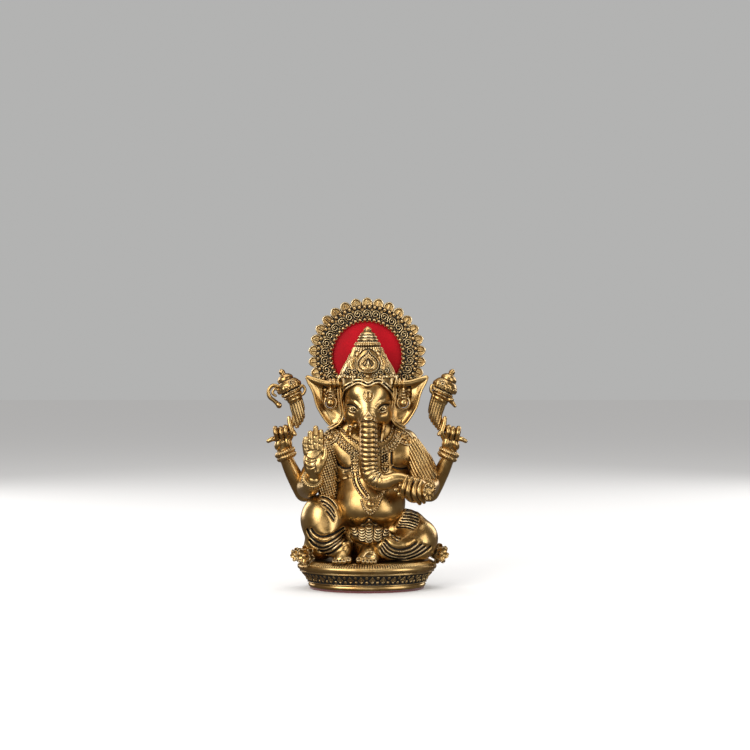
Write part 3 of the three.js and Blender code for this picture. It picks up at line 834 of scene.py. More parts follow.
# ------------------------------------------------------------------ body
def torso_form(clay):
    """The trunk of the body, which the ornaments also lie on."""
    clay.ball((1, 8, 38), (32, 24, 20), blend=0)
    clay.ball((1.6, 2.0, 69), (28.5, 25.5, 23.5), blend=5)
    clay.ball((1.6, -4.5, 60.5), (25.0, 18.5, 12.6), blend=8)
    clay.ball((1.6, 4, 89), (28.5, 19, 17), blend=8)
    clay.ball((2, 8, 104), (29.5, 18.5, 20), blend=6)
    clay.ball((-15.5, 2.5, 104.5), (16.5, 10.8, 12.2), (0, 0, 6), blend=5)
    clay.ball((23.5, 2.5, 104), (15.5, 10.8, 12.0), (0, 0, -6), blend=5)
    clay.tube([(-26, 7, 113, 11.5), (0, 7, 117, 12.5), (29, 7, 113, 11.5)], blend=7)
    clay.ball((0, 8, 125), (25, 13, 10), blend=6)
    return clay


def torso():
    """The belly and the breast, with the straps, folds and belt cut into them."""
    clay = Clay.around("torso", 0.5 * COARSE, (4, 6, 4))
    torso_form(clay)
    x, z = clay.x[:, 0, :], clay.z[:, 0, :]
    # the straps beside the breast, the crease under it, a roll of flesh and the fold on the belly
    straps = [
        [(-33.1, 118.5), (-31.1, 113.1), (-26.4, 106.6), (-24.3, 101.7), (-21.9, 95.9)],
        [(37.1, 118.5), (37.9, 113.1), (37.1, 107.6), (35.5, 100.7), (34.3, 94.7)],
        [(19.4, 107.7), (19.2, 100.8), (19.6, 96.0)],
    ]
    clay.engrave(straps, 0.6, 1.4, 5)
    under_breast = [[(-23.2, 97.8), (-20.7, 95.6), (-16.9, 94.2), (-11.4, 94.8)]]
    under_breast.append([(19.5, 96.0), (22.8, 94.4), (27.1, 93.6), (31.2, 94.4), (34.4, 96.2)])
    clay.engrave(under_breast, 0.8, 1.5, 4)
    clay.engrave([[(-18.7, 90.6), (-13.7, 92.2), (-8.8, 91.4)]], 0.7, 1.0, 4)
    fold = [
        [(-5.4, 51.4), (-1.8, 52.5), (1.7, 56.2), (5.2, 52.5), (8.8, 51.4)],
        [(-1.2, 50.8), (1.7, 52.5), (4.6, 50.8)]
    ]
    clay.engrave(fold, 0.55, 1.3, 0)
    # the back: spine, shoulder blades, sash, belt and the folds of the seat
    spine = groove(x - 1, 2.4) * step(z, 60, 72) * (1 - step(z, 102, 112))
    clay.raise_by(-1.6 * spine, low_y=12)
    for side in (-1, 1):
        clay.ball((1 + side * 14, 22.0, 104), (7.5, 3.4, 11), (0, side * 14, 0), blend=4)
        clay.ball((1 + side * 12, 19, 50), (13, 10, 9), blend=6)
    sash = clay.front_line([(-29, 114), (-18, 99), (-4, 84), (14, 70), (27, 60)])
    seams = 0.7 * groove(sash.off - 1.7, 0.4) + 0.5 * groove(sash.off, 0.4)
    clay.raise_by(1.3 * step(-sash.off, -2.8, -2.2) - seams, low_y=13)
    belt = 1.5 * groove(z - 56, 1.7) + 1.0 * groove(z - 60.2, 0.9) + 1.0 * groove(z - 51.8, 0.9)
    seat = 1.3 * np.abs(np.sin(x * 0.42 + 1.5 * np.sin(z * 0.09))) ** 0.6 * (1 - step(z, 46, 50))
    clay.raise_by(belt + seat, low_y=10)
    pad_low, pad_high = box_mm("halo_bracket")
    clay.block(
        (pad_low[0] - 1, 10, pad_low[2] + 4), (pad_high[0] + 1, pad_low[1] - 0.3, pad_high[2] - 2),
        blend=2.5, round_by=1.5
    )
    return cast(clay, "torso")


def strip(clay, under, points, half_width, height, low_y=-1e3, high_y=1e3):
    """A band that lies on the body along a line in the front view. height(along, across) is its
    relief in mm."""
    line = clay.front_line(points)
    clay.overlay(under, height(line.along, line.across), line.off - half_width, low_y, high_y)


def chased(half_width, pitch=2.7, plain_after=1e3):
    """Relief of a chased band: beads along each edge and raised tablets down the middle."""

    def height(along, across):
        inset = half_width - 0.85
        edge = np.maximum(
            beads(along, across - inset, 1.95, 0.88), beads(along, across + inset, 1.95, 0.88)
        ) * 1.25
        u = (along % pitch) - pitch / 2
        tablet = np.maximum(np.abs(u) - pitch / 2 + 0.38, np.abs(across) - half_width + 2.35)
        dot = np.hypot(u, across)
        middle_row = 0.95 * step(-tablet, 0.0, 0.35) - 0.6 * groove(dot, 0.45)
        smooth_row = 0.8 * step(half_width - 2.0 - np.abs(across), 0, 0.4)
        return 0.5 + np.maximum(edge, np.where(along > plain_after, smooth_row, middle_row))

    return height


def beaded(pitch):
    """Relief of a single row of beads on a thin strap."""

    def height(along, across):
        return 0.4 + 1.1 * beads(along, across, pitch, 1.05)

    return height


def neck_collar():
    """Two chased bands that meet over the breast, under a string of beads on each side."""
    clay = Clay((-36, -22, 94), (38, 8, 132), MEDIUM)
    under = torso_form(clay.like())
    right = [(-29.6, 125.9), (-24.2, 120.0), (-19.5, 114.3), (-14.8, 110.2), (-8.2, 105.0), (-2.9, 103.6)]
    left = [(26.8, 127.4), (25.0, 121.0), (22.0, 114.7), (16.9, 110.0), (9.6, 108.0), (4.0, 107.6)]
    for points in (right, left):
        strip(clay, under, points, 3.7, chased(3.7), high_y=6)
    second = [
        [(-23.7, 129.4), (-17.3, 121.5), (-10.8, 116.0), (-5.9, 113.5)],
        [(20.9, 128.4), (18.5, 121.0), (13.9, 116.1), (8.0, 114.5)]
    ]
    for points in second:
        strip(clay, under, points, 1.7, beaded(2.3), high_y=6)
    return cast(clay, "neck_collar")


def long_necklace():
    """A chased strap down to the pendant, a beaded string back up and a panel of beads."""
    clay = Clay.around("long_necklace", MEDIUM, (4, 7, 4))
    under = torso_form(clay.like())
    right = [(-10.3, 109.1), (-9.6, 99.5), (-9.3, 91.8), (-7.9, 84.1), (-4.4, 77.9), (-0.5, 73.4)]
    strip(clay, under, right, 3.1, chased(3.1, plain_after=18), high_y=2)
    left = [(17.2, 87.5), (16.2, 80.6), (12.5, 75.3), (7.6, 72.4)]
    strip(clay, under, left, 2.0, beaded(2.2), high_y=2)
    panel = [(13.5, 108.9), (13.7, 102.0), (14.1, 94.1)]

    def three_rows(along, across):
        rows = [beads(along + k, across - k * 2.1, 2.2, 1.0) for k in (-1, 0, 1)]
        return 0.3 + 1.05 * np.maximum.reduce(rows)

    strip(clay, under, panel, 3.6, three_rows, high_y=2)
    flower = clay.on_front([(14.5, 97.2, 2.4)], 0.4)[0]
    for turn in np.arange(6) * math.tau / 6:
        clay.ball(
            np.array(flower[:3]) + (1.7 * math.cos(turn), 0, 1.7 * math.sin(turn)), (0.95, 0.9, 0.95),
            blend=0.15
        )
    clay.ball(np.array(flower[:3]) + (0, -0.4, 0), (0.9, 0.9, 0.9))
    return cast(clay, "long_necklace")


def pendant():
    """A heart-shaped drop edged with beads, under a pair of scrolls."""
    clay = Clay.around("pendant", FINE, (5, 5, 6))
    under = torso_form(clay.like())
    x, z = clay.x[:, 0, :], clay.z[:, 0, :]
    heart = [(-4.6, 71.4), (-2.6, 65.4), (0.3, 61.6), (3.0, 59.9), (5.8, 62.0), (8.7, 65.8), (10.9, 71.6)]
    edge = Line(x, z, heart)
    closed = [tuple(p) for p in smooth_path(heart, 4)] + [(8.5, 74.5), (3.2, 72.5), (-2.0, 74.5)]
    body = inside(x, z, closed, 0.3)
    cx, cz = 3.0, 67.7
    boss = np.sqrt(np.clip(1 - ((x - cx) / 3.9) ** 2 - ((z - cz) / 3.1) ** 2, 0, None)) * 2.2
    tail = np.sqrt(np.clip(1 - ((x - cx) / 1.6) ** 2 - ((z - cz + 4.4) / 1.5) ** 2, 0, None)) * 1.4
    border = 1.25 * beads(edge.along, edge.across, 1.9, 0.95)
    scrolls = 0
    for side in (-1, 1):
        scrolls = np.maximum(
            scrolls, 1.3 * spiral((x - cx - side * 3.5) * side, z - cz - 5.9, 2.5, 1.5, 1, 0.5)
        )
    height = 0.5 + np.maximum.reduce([boss, tail, border, scrolls])
    mask = np.minimum(0.5 - body, edge.off - 1.0)
    clay.overlay(under, height, mask, high_y=-8)
    return cast(clay, "pendant")


def belly_band():
    """A twisted cord round the waist, lower at the sides."""
    clay = Clay.around("belly_band", MEDIUM, (9, 7, 6))
    under = torso_form(clay.like())
    level = 88.3 - 5.4 * step(-clay.x, 12, 30) - 3 * step(clay.x, 14, 27) + 0 * clay.y
    off = np.abs(clay.z - level)
    rope = 1.2 + 0.4 * np.sin((np.arctan2(clay.y - 6, clay.x) * 22 + (clay.z - level)) * 1.3)
    clay.overlay(under, rope * np.sqrt(np.clip(1 - (off / 1.5) ** 2, 0, None)) + 0.1, off - 1.4)
    return cast(clay, "belly_band")


def shoulder_ornament(side, sign):
    """A leaf-shaped plate on the shoulder with a raised rim, a boss and chased leaves."""
    name = side + "_shoulder_ornament"
    clay = Clay.around(name, MEDIUM, (5, 6, 7))
    under = torso_form(clay.like())
    x, z = clay.x[:, 0, :] * sign - 29.0, clay.z[:, 0, :] - 118.5
    turn = math.radians(-38)
    u, v = x * math.cos(turn) + z * math.sin(turn), -x * math.sin(turn) + z * math.cos(turn)
    leaf = np.hypot(u / 9.0, v / 5.4)
    rim = 1.2 * groove((leaf - 0.88) * 5, 0.5)
    boss = np.sqrt(np.clip(1 - (u / 2.6) ** 2 - (v / 2.3) ** 2, 0, None)) * 1.7
    veins = 1.1 * (
        np.abs(np.sin(np.arctan2(v, u) * 4)) ** 0.7
    ) * step(leaf, 0.38, 0.48) * (1 - step(leaf, 0.7, 0.78))
    clay.overlay(under, 0.5 + np.maximum.reduce([rim, boss, veins]), (leaf - 1) * 5, high_y=8)
    return cast(clay, name)


# ------------------------------------------------------------------ head
FACE_MIDDLE = 0.8  # mm; the face sits a little to the left of the plinth's middle


def head_form(clay):
    """The smooth skull, which the mark and the crown's band also lie on."""
    clay.ball((FACE_MIDDLE, 4, 147.5), (20, 18.5, 20))
    for side in (-1, 1):
        # the two domes of the brow
        clay.ball((FACE_MIDDLE + side * 6.8, -7.6, 153.0), (10.2, 10.6, 10.4), blend=6)
        # cheeks
        clay.ball((FACE_MIDDLE + side * 11.0, -7.5, 136.0), (7.8, 9.4, 9.6), (0, side * 10, 0), blend=5)
    clay.tube(
        [
            (FACE_MIDDLE, -8, 152, 9.4), (FACE_MIDDLE, -12.4, 143.5, 8.8),
            (FACE_MIDDLE, -17.6, 134.5, 7.6), (FACE_MIDDLE, -21, 126, 6.6)
        ],
        blend=8
    )
    clay.ball((FACE_MIDDLE, -4, 123), (14, 12, 8), blend=4)  # lower jaw
    return clay


def head():
    """The skull with its brow ridges, almond eyes between lids, and the corners of the mouth."""
    clay = Clay.around("head", FINE, (4, 8, 7))
    head_form(clay)
    brow = [
        (6.6, 142.2, 0.48), (8.4, 143.9, 0.8), (11.1, 146.1, 0.96), (14.7, 146.3, 0.8), (17.4, 143.7, 0.4)
    ]
    for side in (-1, 1):
        clay.ridge(sided(side, brow, FACE_MIDDLE), blend=1.8, lift=-0.35)
    upper = [
        (7.8, 138.9, 0.35), (9.6, 141.3, 0.6), (12.1, 142.7, 0.7), (14.7, 142.8, 0.6), (17.2, 141.9, 0.3)
    ]
    lower = [
        (8.4, 138.6, 0.3), (10.4, 138.1, 0.5), (12.8, 138.5, 0.55), (15.0, 139.8, 0.5), (16.8, 141.4, 0.3)
    ]
    for side in (-1, 1):
        lids = [sided(side, lid, FACE_MIDDLE) for lid in (upper, lower)]
        stations = [clay.on_front(smooth_path(lid, 4), -0.15) for lid in lids]
        x, z = FACE_MIDDLE + side * 12.3, 140.7
        y = clay.on_front([(x, z, 1)])[0][1]
        clay.ball((x, y, z), (4.4, 1.7, 2.0), (0, -side * 18, side * 14), blend=0.7, cut=True)
        clay.ball((x, y + 1.9, z), (3.4, 2.5, 1.7), (0, -side * 16, side * 12), blend=0.2)
        for lid in stations:
            clay.tube(lid, blend=0.35, steps=1)
        clay.engrave([[(px, pz + 1.25) for px, pz, _ in lids[0]]], 0.42, 1.1, -3)
        clay.engrave([[(px, pz - 1.6) for px, pz, _ in lids[1][:4]]], 0.4, 0.6, -3)
        clay.ball((x + 0.2 * side, y - 0.2, z), (0.8, 0.8, 0.8), cut=True)
    # the mouth between trunk and cheek: open on the right, a slit for the tusk on the left
    clay.ball((-10.2, -15, 120.5), (5.0, 9, 5.2), blend=0.8, cut=True)
    clay.ball((11.3, -17, 122.4), (1.7, 8, 5.0), blend=0.6, cut=True)
    clay.tube([(-15.0, -9, 121.0, 1.3), (-13.6, -14, 125.2, 1.7), (-8.6, -17, 127.6, 1.5)], blend=0.5)
    clay.engrave([[(0.7, 161), (0.8, 156)]], 1.4, 0.7, -4)
    return cast(clay, "head")


def forehead_mark():
    """A smooth shield on the brow with three upright strokes, joined below, cut into it."""
    clay = Clay.around("forehead_mark", 0.2 * COARSE, (3, 5, 3))
    under = head_form(clay.like())
    cx, cz = 1.1, 150.7
    x, z = clay.x[:, 0, :] - cx, clay.z[:, 0, :] - cz
    strokes = np.maximum(np.abs(np.where(z < 0.2, np.hypot(x, z - 0.2) - 3.0, np.abs(x) - 3.0)), z - 2.0)
    stem = np.hypot(x, np.clip(np.abs(z + 0.9) - 3.0, 0, None))
    off = np.minimum(strokes, stem)
    shield = np.hypot(x / 4.5, z / 4.9) - 1
    height = 0.9 * np.clip(-shield * 5, 0, 1) ** 0.5 + 0.6 - 1.9 * groove(off, 0.6)
    clay.overlay(under, height, shield * 4, high_y=-8)
    return cast(clay, "forehead_mark")


TRUNK = [
    (0.9, -11, 143, 6.2),
    (1.0, -18.6, 134, 7.0),
    (1.1, -22.5, 124, 6.9),
    (1.2, -24, 111, 7.2),
    (1.3, -25.5, 99, 7.4),
    (3.0, -27.5, 90.5, 7.2),
    (8.6, -29.5, 85.6, 6.8),
    (15.0, -31, 85.2, 6.3),
    (21.0, -32, 87.4, 5.4),
    (26.4, -33, 87.8, 4.4),
    (31.0, -34, 86.6, 3.7),
]


def trunk():
    """Ringed from the brow to the curl, with knobs down its left side and a smooth underside."""
    clay = Clay.around("trunk", FINE, (4, 5, 9))
    length = sum(math.dist(a[:3], b[:3]) for a, b in zip(TRUNK, TRUNK[1:]))
    side = clay.front_line([(x, z) for x, _, z, _ in TRUNK]).across[:, None, :]
    pitch, first = 3.7, 14.2

    def rings(along, x, y, z):
        rows = slice(*np.searchsorted(clay.axes[0], (x.min(), x.max() + 1e-4)))
        columns = slice(*np.searchsorted(clay.axes[2], (z.min(), z.max() + 1e-4)))
        lateral = side[rows, :, columns]
        phase = (along - first + 0.033 * lateral**2) / pitch
        ring = np.abs(np.sin(np.pi * phase)) ** 0.5
        span = step(along, first - 2, first) * (1 - step(along, length - 24, length - 18))
        across = step(lateral, -6.2, -4.6) * (1 - step(lateral, 4.4, 5.6))
        knobs = beads(along - first, lateral - 5.9, pitch, 1.5) * 0.8
        front = step(-y, 20, 22) + 0 * along
        return span * (across * (ring - 0.55) * 1.5 + knobs * front)

    clay.tube(TRUNK, ripple=rings, steps=7)
    # the smooth cap where the trunk leaves the brow, in a deep outline
    cap = [(1.1, 139.1), (4.4, 135.4), (4.6, 133.3), (1.1, 131.9), (-2.4, 133.3), (-2.2, 135.4)]
    closed = [tuple(p) for p in smooth_path(cap + cap[:1], 4)][:-1]
    x, z = clay.x[:, 0, :], clay.z[:, 0, :]
    clay.raise_by(1.1 * inside(x, z, closed, 0.8), high_y=-18)
    clay.engrave(
        [[(-3.4, 133.7), (-3.0, 136.2), (1.1, 140.4), (5.2, 136.2), (5.6, 133.7)]], 0.5, 1.2, -14
    )
    tip = TRUNK[-1]
    clay.ball((tip[0] + 1.4, tip[1] - 0.8, tip[2] - 2.6), (1.2, 2.2, 1.6), blend=0.8, cut=True)
    return cast(clay, "trunk")


def tusk(side):
    """A broken stump on the right, a slim whole tusk on the left."""
    clay = Clay.around(side + "_tusk", FINE, (4, 6, 8))
    if side == "right":
        clay.tube([(-9.4, -9, 128.5, 2.6), (-11.4, -14.6, 127.2, 2.6), (-12.8, -17.0, 126.4, 2.3)])
        clay.ball((-13.2, -18.6, 126.0), (1.6, 1.6, 1.6), blend=0.4, cut=True)
    else:
        clay.tube(
            [
                (12.4, -11, 130, 2.2), (13.0, -17, 125.5, 1.9), (12.2, -20.5, 121.0, 1.5),
                (11.2, -22, 116.4, 0.7)
            ]
        )
    return cast(clay, side + "_tusk")


EAR_OUTLINE = [
    (-18.5, 158.5),
    (-26, 160.6),
    (-32.8, 160.9),
    (-42.8, 163.9),
    (-48.0, 165.6),
    (-47.0, 161.0),
    (-44.3, 156.0),
    (-42.2, 150.7),
    (-41.0, 145.7),
    (-39.2, 140.7),
    (-35.6, 134.4),
    (-31.8, 129.2),
    (-28.4, 126.6),
    (-24.1, 127.0),
    (-19.4, 130.5),
    (-17.5, 140.7),
    (-17.0, 153.2),
]


def ear(side, sign):
    """A dished leaf with a rolled top rim, a double cord down its root and a deep hollow."""
    name = side + "_ear"
    clay = Clay.around(name, MEDIUM, (4, 7, 4))
    x, y, z = clay.x * -sign, clay.y, clay.z
    outline = smooth_path(EAR_OUTLINE + EAR_OUTLINE[:1], 4)
    corners = [tuple(p) for p in outline[:-1]]
    flat_x, flat_z = x[:, 0, :], z[:, 0, :]
    line = Line(flat_x, flat_z, corners + corners[:1], 1)
    mask = inside(flat_x, flat_z, corners, 0.02)
    edge = np.where(mask > 0.5, -line.off, line.off)
    outward = np.clip((-flat_x - 19) / 29, 0, 1)
    dish = 2.6 * outward**1.3 - 2.2 * np.sin(np.pi * outward) * step(-edge, 0, 6)
    front = -1.8 - dish * 0.4 + 1.5 * np.sin(np.pi * outward) * step(-edge, 0.6, 6)
    roll = 0.7 * groove(line.off - 0.8, 1.1)
    ripples = 0.5 * np.sin(flat_z * 0.55 + flat_x * 0.35) * step(-edge, 2, 6)
    recess = [(-22, 158), (-34.5, 158.5), (-34.5, 150), (-32.5, 142.0), (-28, 139.6), (-24.6, 142)]
    hollow = inside(flat_x, flat_z, recess, 2.0)
    face = front - roll - ripples * 0.5 + 3.0 * hollow
    back = 3.6 + 0 * flat_x + 0.8 * ripples
    clay.d = 0.8 * np.maximum(
        np.maximum(face[:, None, :] - y, y - back[:, None, :]), edge[:, None, :]
    ).astype(np.float32)

    def here(stations):
        return sided(-sign, stations)

    bar = [
        (-17, -2.4, 159.4, 2.1), (-26, -3.0, 160.2, 2.3), (-34, -2.4, 160.8, 2.3),
        (-42, -1.6, 163.2, 2.2), (-46.4, -0.8, 165.0, 1.8)
    ]
    clay.tube(here(bar), blend=0.8)
    for bx in (-22.0, -25.2, -28.4):
        clay.tube(
            here([(bx, -3.0, 156.8, 1.1), (bx - 0.2, -5.9, 160.2, 1.15), (bx - 0.4, -2.4, 163.4, 1.0)]),
            blend=0.2
        )
    for inset, thick in ((0.0, 0.95), (2.3, 0.6)):
        cord = [
            (-20.7, 157.0), (-20.5, 148.7), (-19.1, 140.3), (-18.5, 134.7), (-21.7, 128.8), (-28.4, 124.6)
        ]
        clay.tube(here([(cx - inset * 0.9, -3.6, cz + inset * 0.5, thick) for cx, cz in cord]), blend=0.4)
    leaves = [(-24.5, 155.5, 2.0), (-32.6, 155, 2.1), (-31.8, 150.4, 1.7), (-25.0, 150.2, 1.6)]
    for lx, lz, r in leaves:
        clay.ball((-sign * lx, 0.4, lz), (r * 0.75, 2.2, r), blend=0.3)
    return cast(clay, name)


def earring(side, sign):
    """A ball in a beaded cup, hung from a stack of small collars."""
    name = side + "_earring"
    centre = middle(name)
    clay = Clay.around(name, FINE, (4, 5, 4))
    cx, y = sign * 28.6, centre[1] - 1.6
    clay.ball((cx, y, 144.9), (3.3, 3.0, 3.3))
    for top, wide in ((149.2, 2.3), (151.6, 1.9), (153.8, 1.6)):
        clay.ball((cx, y + 0.2, top), (wide, 1.9, 0.95), blend=0.2)
    clay.tube([(cx, y + 0.6, 148.5, 1.2), (cx, y + 0.9, 152, 1.2), (cx, y + 1, 156, 1.0)], blend=0.3)
    cup = [
        (cx + 4.6 * math.sin(t), y + 2.2, 145.2 - 4.9 * math.cos(t), 0.9)
        for t in np.linspace(-2.3, 2.3, 15)
    ]
    clay.tube(cup, steps=2)
    return cast(clay, name)


# ------------------------------------------------------------------ crown
CROWN_AXIS = middle("crown_finial")[:2]


def crown_form(clay):
    """The plain cone of the crown."""
    x, y, z = clay.x - CROWN_AXIS[0], clay.y - CROWN_AXIS[1], clay.z
    profile_z = [157, 160, 165, 170, 176, 181, 189.5, 191]
    profile_r = [21.4, 22.4, 22.2, 19.6, 16.4, 13.9, 9.8, 8.9]
    radius = np.interp(z.ravel(), profile_z, profile_r).reshape(z.shape)
    reach = np.hypot(x, y / 0.88)
    clay.d = np.minimum(
        clay.d, np.maximum((reach - radius) * 0.86, np.maximum(158.5 - z, z - 190.0))
    ).astype(np.float32)
    return clay


def crown_dome():
    """A cone of big leaves, each a rim round an oval boss, with ribs above and scrolls below."""
    clay = Clay.around("crown_dome", FINE, (4, 4, 4))
    crown_form(clay)
    x, y, z = clay.x - CROWN_AXIS[0], clay.y - CROWN_AXIS[1], clay.z
    turn, reach = np.arctan2(x, -y), np.hypot(x, y)
    leaves = 8
    lap = turn * leaves / math.tau
    across = (lap - np.round(lap)) * 2
    leaf = np.hypot(across, np.clip(z - 171.0, 0, None) / 13.5) + 0.35 * step(169 - z, 0, 2.5)
    wide = reach * math.tau / leaves / 2
    rim = 1.5 * groove((0.88 - leaf) * wide, 0.65)
    bow = across + 0.25 * np.sin((z - 172) * 0.3)
    boss = 1.7 * np.sqrt(np.clip(1 - (bow / 0.48) ** 2 - ((z - 174) / 8.0) ** 2, 0, None))
    boss = boss - 0.7 * groove(bow * wide, 0.35) * (boss > 0.4)
    ribs = 1.3 * np.abs(np.sin(turn * 16)) ** 0.6 * step(leaf, 1.05, 1.15) * step(z, 180, 182) * (
        1 - step(z, 188.6, 189.4)
    )
    band = (((turn * 21) % 3.1) - 1.55) ** 2 + (z - 165.6) ** 2
    pearls = 1.1 * np.sqrt(np.clip(1.35**2 - band, 0, None))
    front_x, front_z = clay.x[:, 0, :], clay.z[:, 0, :]
    crest = 1 - step(np.hypot((front_x - 1.0) / 10.4, (front_z - 176) / 12.6), 0.88, 0.98)
    under_crest = 1 - step(np.hypot((front_x - 1.0) / 8.8, (front_z - 175) / 12.2), 1.0, 1.06)
    crest, under_crest = (np.where(clay.y < 0, spread(part), 0) for part in (crest, under_crest))
    relief = np.maximum.reduce([rim, boss, pearls]) * (1 - crest)
    relief = np.maximum(relief, ribs * (1 - under_crest)) - 0.6 * crest * under_crest
    clay.d -= relief.astype(np.float32)
    curls = 0
    for side in (-1, 1):
        for cx, cz, r in ((5.6, 166.4, 2.5), (10.2, 168.6, 2.6), (14.6, 170.2, 2.4), (18.4, 167.2, 2.5)):
            curls = np.maximum(
                curls, spiral((front_x - 0.6 - side * cx) * side, front_z - cz, r, 1.5, 1, 0.55)
            )
    clay.raise_by(1.7 * curls, high_y=-2)
    for side in (-1, 1):
        lobe = [(12.0, 171.5, 0.8), (13.2, 174.4, 1.9), (12.6, 177.4, 1.8), (10.6, 181.0, 0.6)]
        frame_line = [(14.6, 172.0, 0.5), (15.8, 175.6, 0.7), (14.4, 179.4, 0.7), (10.8, 183.4, 0.5)]
        for points in (lobe, frame_line):
            clay.ridge(sided(side, points, FACE_MIDDLE), blend=0.3, lift=0.1)
    clay.bead(0.5, 165.5, 1.8)
    clay.ball((CROWN_AXIS[0], 4, 147.0), (20.2, 18.7, 19.8), cut=True)
    return cast(clay, "crown_dome")


def crown_band():
    """Two smooth wires that follow the brow in waves and go round the back of the head."""
    clay = Clay((-25, -21, 146), (26, 25, 168), FINE)
    under = crown_form(head_form(clay.like()))
    wave = [
        (-20.9, 148.2), (-19.7, 153.7), (-17.6, 156.7), (-12.7, 159.9), (-8.7, 161.9), (-4.3, 161.9),
        (0.7, 159.7), (5.7, 161.9), (9.9, 162.4), (13.8, 159.9), (17.5, 156.4), (20.2, 153.0),
        (21.8, 148.0)
    ]
    line = clay.front_line(wave)
    wires = 1.5 * np.sqrt(np.clip(1 - ((line.off - 1.15) / 0.85) ** 2, 0, None)) + 0.3
    clay.overlay(under, wires, line.off - 2.1, high_y=4, sink=1.2)
    level = np.abs(clay.z - 161.5 + 0 * clay.x + 0 * clay.y)
    back = 1.3 * np.sqrt(np.clip(1 - ((level - 1.15) / 0.85) ** 2, 0, None)) + 0.3
    clay.overlay(under, back, level - 2.1, low_y=1, sink=1.2)
    return cast(clay, "crown_band")


def crown_crest():
    """The leaf over the brow: a pointed frame, a broad chased arch and a teardrop in its middle."""
    clay = Clay.around("crown_crest", FINE, (4, 5, 5))
    under = crown_form(clay.like())
    x, z = clay.x[:, 0, :] - 1.0, clay.z[:, 0, :]
    half = [
        (0.3, 168.6), (4.6, 169.4), (7.2, 171.5), (8.5, 174.7), (8.3, 177.9), (6.0, 181.0), (2.6, 183.6),
        (0.7, 186.6)
    ]
    points = [tuple(p) for p in smooth_path(half, 3)]
    corners = points + [(-px, pz) for px, pz in reversed(points)]
    off = Line(x, z, corners + corners[:1], 1).off
    deep = np.where(inside(x, z, corners, 0.02) > 0.5, off, -off)
    low_end = step(z, 169.5, 171.5)
    rim = 1.0 * groove(deep - 0.3, 0.36)
    arch = 1.7 * np.sqrt(np.clip(1 - ((deep - 2.8) / 1.75) ** 2, 0, None)) * low_end
    hatch = 0.5 * np.abs(np.sin(np.arctan2(x, z - 174) * 14)) * step(2.4 - deep, 0, 0.4)
    drop_z = z - 173.8
    drop_x = np.clip(2.5 - 0.42 * np.clip(drop_z, 0, None), 0.3, None)
    tear = np.hypot(x / drop_x, np.where(drop_z > 0, drop_z / 5.0, drop_z / 2.9))
    boss = np.sqrt(np.clip(1 - tear**2, 0, None)) * 2.6
    height = 1.1 + np.maximum.reduce([rim * 1.3, arch - hatch * (arch > 0.4), boss])
    clay.overlay(under, height, -deep, high_y=-4, sink=1.6)
    return cast(clay, "crown_crest")


def crown_finial():
    """Stacked rings under a ball."""
    clay = Clay.around("crown_finial", FINE, 2)
    x, y, z = clay.x - CROWN_AXIS[0], clay.y - CROWN_AXIS[1], clay.z
    reach = np.hypot(x, y)
    base = box_mm("crown_finial")[0][2]
    outline = [
        (0.0, 9.8), (0.4, 10.4), (1.5, 9.9), (3.0, 8.8), (3.3, 7.6), (3.6, 7.7), (3.9, 8.6), (4.6, 8.6),
        (5.4, 8.1),
        (5.75, 6.7), (6.05, 6.7), (6.3, 7.7), (7.1, 7.6), (7.8, 6.9), (8.1, 5.0), (8.35, 4.9), (8.6, 6.2),
        (9.1, 6.2),
        (10.0, 5.1), (10.8, 4.0), (11.2, 2.9), (11.5, 2.9), (12.1, 3.3), (13.0, 2.9), (14.0, 2.0),
        (14.9, 0.8), (15.6, -0.8),
    ]
    heights, radii = zip(*outline)
    radius = np.interp((z - base).ravel(), heights, radii).reshape(z.shape)
    ribs = 0.5 * np.abs(np.sin(np.arctan2(x, y) * 16)) * (z < base + 2.9)
    clay.d = np.maximum((reach - radius - ribs) * 0.75, base - z).astype(np.float32)
    return cast(clay, "crown_finial")


# ------------------------------------------------------------------ arms and hands
FRONT_RIGHT_ARM = [
    (-26, 6, 112, 10.5), (-39, 4, 97, 9.2), (-46.5, 0, 80.5, 8.4), (-44, -14, 80, 7.2),
    (-41, -23, 86, 5.8)
]
FRONT_LEFT_ARM = [
    (27, 6, 112, 11), (42, 4, 97, 10.2), (48.5, 0, 82, 8.6), (46, -14, 79, 7.2), (43.5, -22, 78, 6)
]
REAR_ARM = [
    (-23, 15, 112, 9.5), (-41, 15, 90, 8.0), (-48.5, 12, 74, 7.2), (-57, 7, 87, 6.4),
    (-63.3, 3, 101, 5.2), (-65, 3, 107, 5)
]


def front_right_arm():
    """The bare arm, bent up to the raised hand."""
    clay = Clay.around("front_right_arm", 0.5 * COARSE, (6, 4, 4))
    clay.tube(FRONT_RIGHT_ARM, blend=0)
    clay.ball((-46, -3, 78), (7.5, 8, 7), blend=3)
    return cast(clay, "front_right_arm")


def front_left_arm():
    """The upper arm wears a pleated sleeve; the forearm comes forward bare."""
    clay = Clay.around("front_left_arm", MEDIUM, (7, 4, 4))

    def pleats(along, x, y, z):
        ridge = np.abs(np.sin(x * 1.25 + z * 0.62)) ** 0.6
        return (ridge - 0.4) * 0.8 * (1 - step(along, 33, 37)) * step(along, 8, 13)

    clay.tube(FRONT_LEFT_ARM, ripple=pleats, steps=7)
    return cast(clay, "front_left_arm")


def rear_arm(side, sign):
    """A bare upper arm, bent sharply up at the elbow."""
    name = f"rear_{side}_arm"
    clay = Clay.around(name, 0.5 * COARSE, (5, 4, 4))
    clay.tube(sided(-sign, REAR_ARM))
    clay.ball((sign * 49, 11, 73), (6.6, 6.6, 6), blend=3)
    clay.ball((sign * 37, 15, 94), (8.6, 8.0, 9.5), (0, sign * 35, 0), blend=4)
    return cast(clay, name)


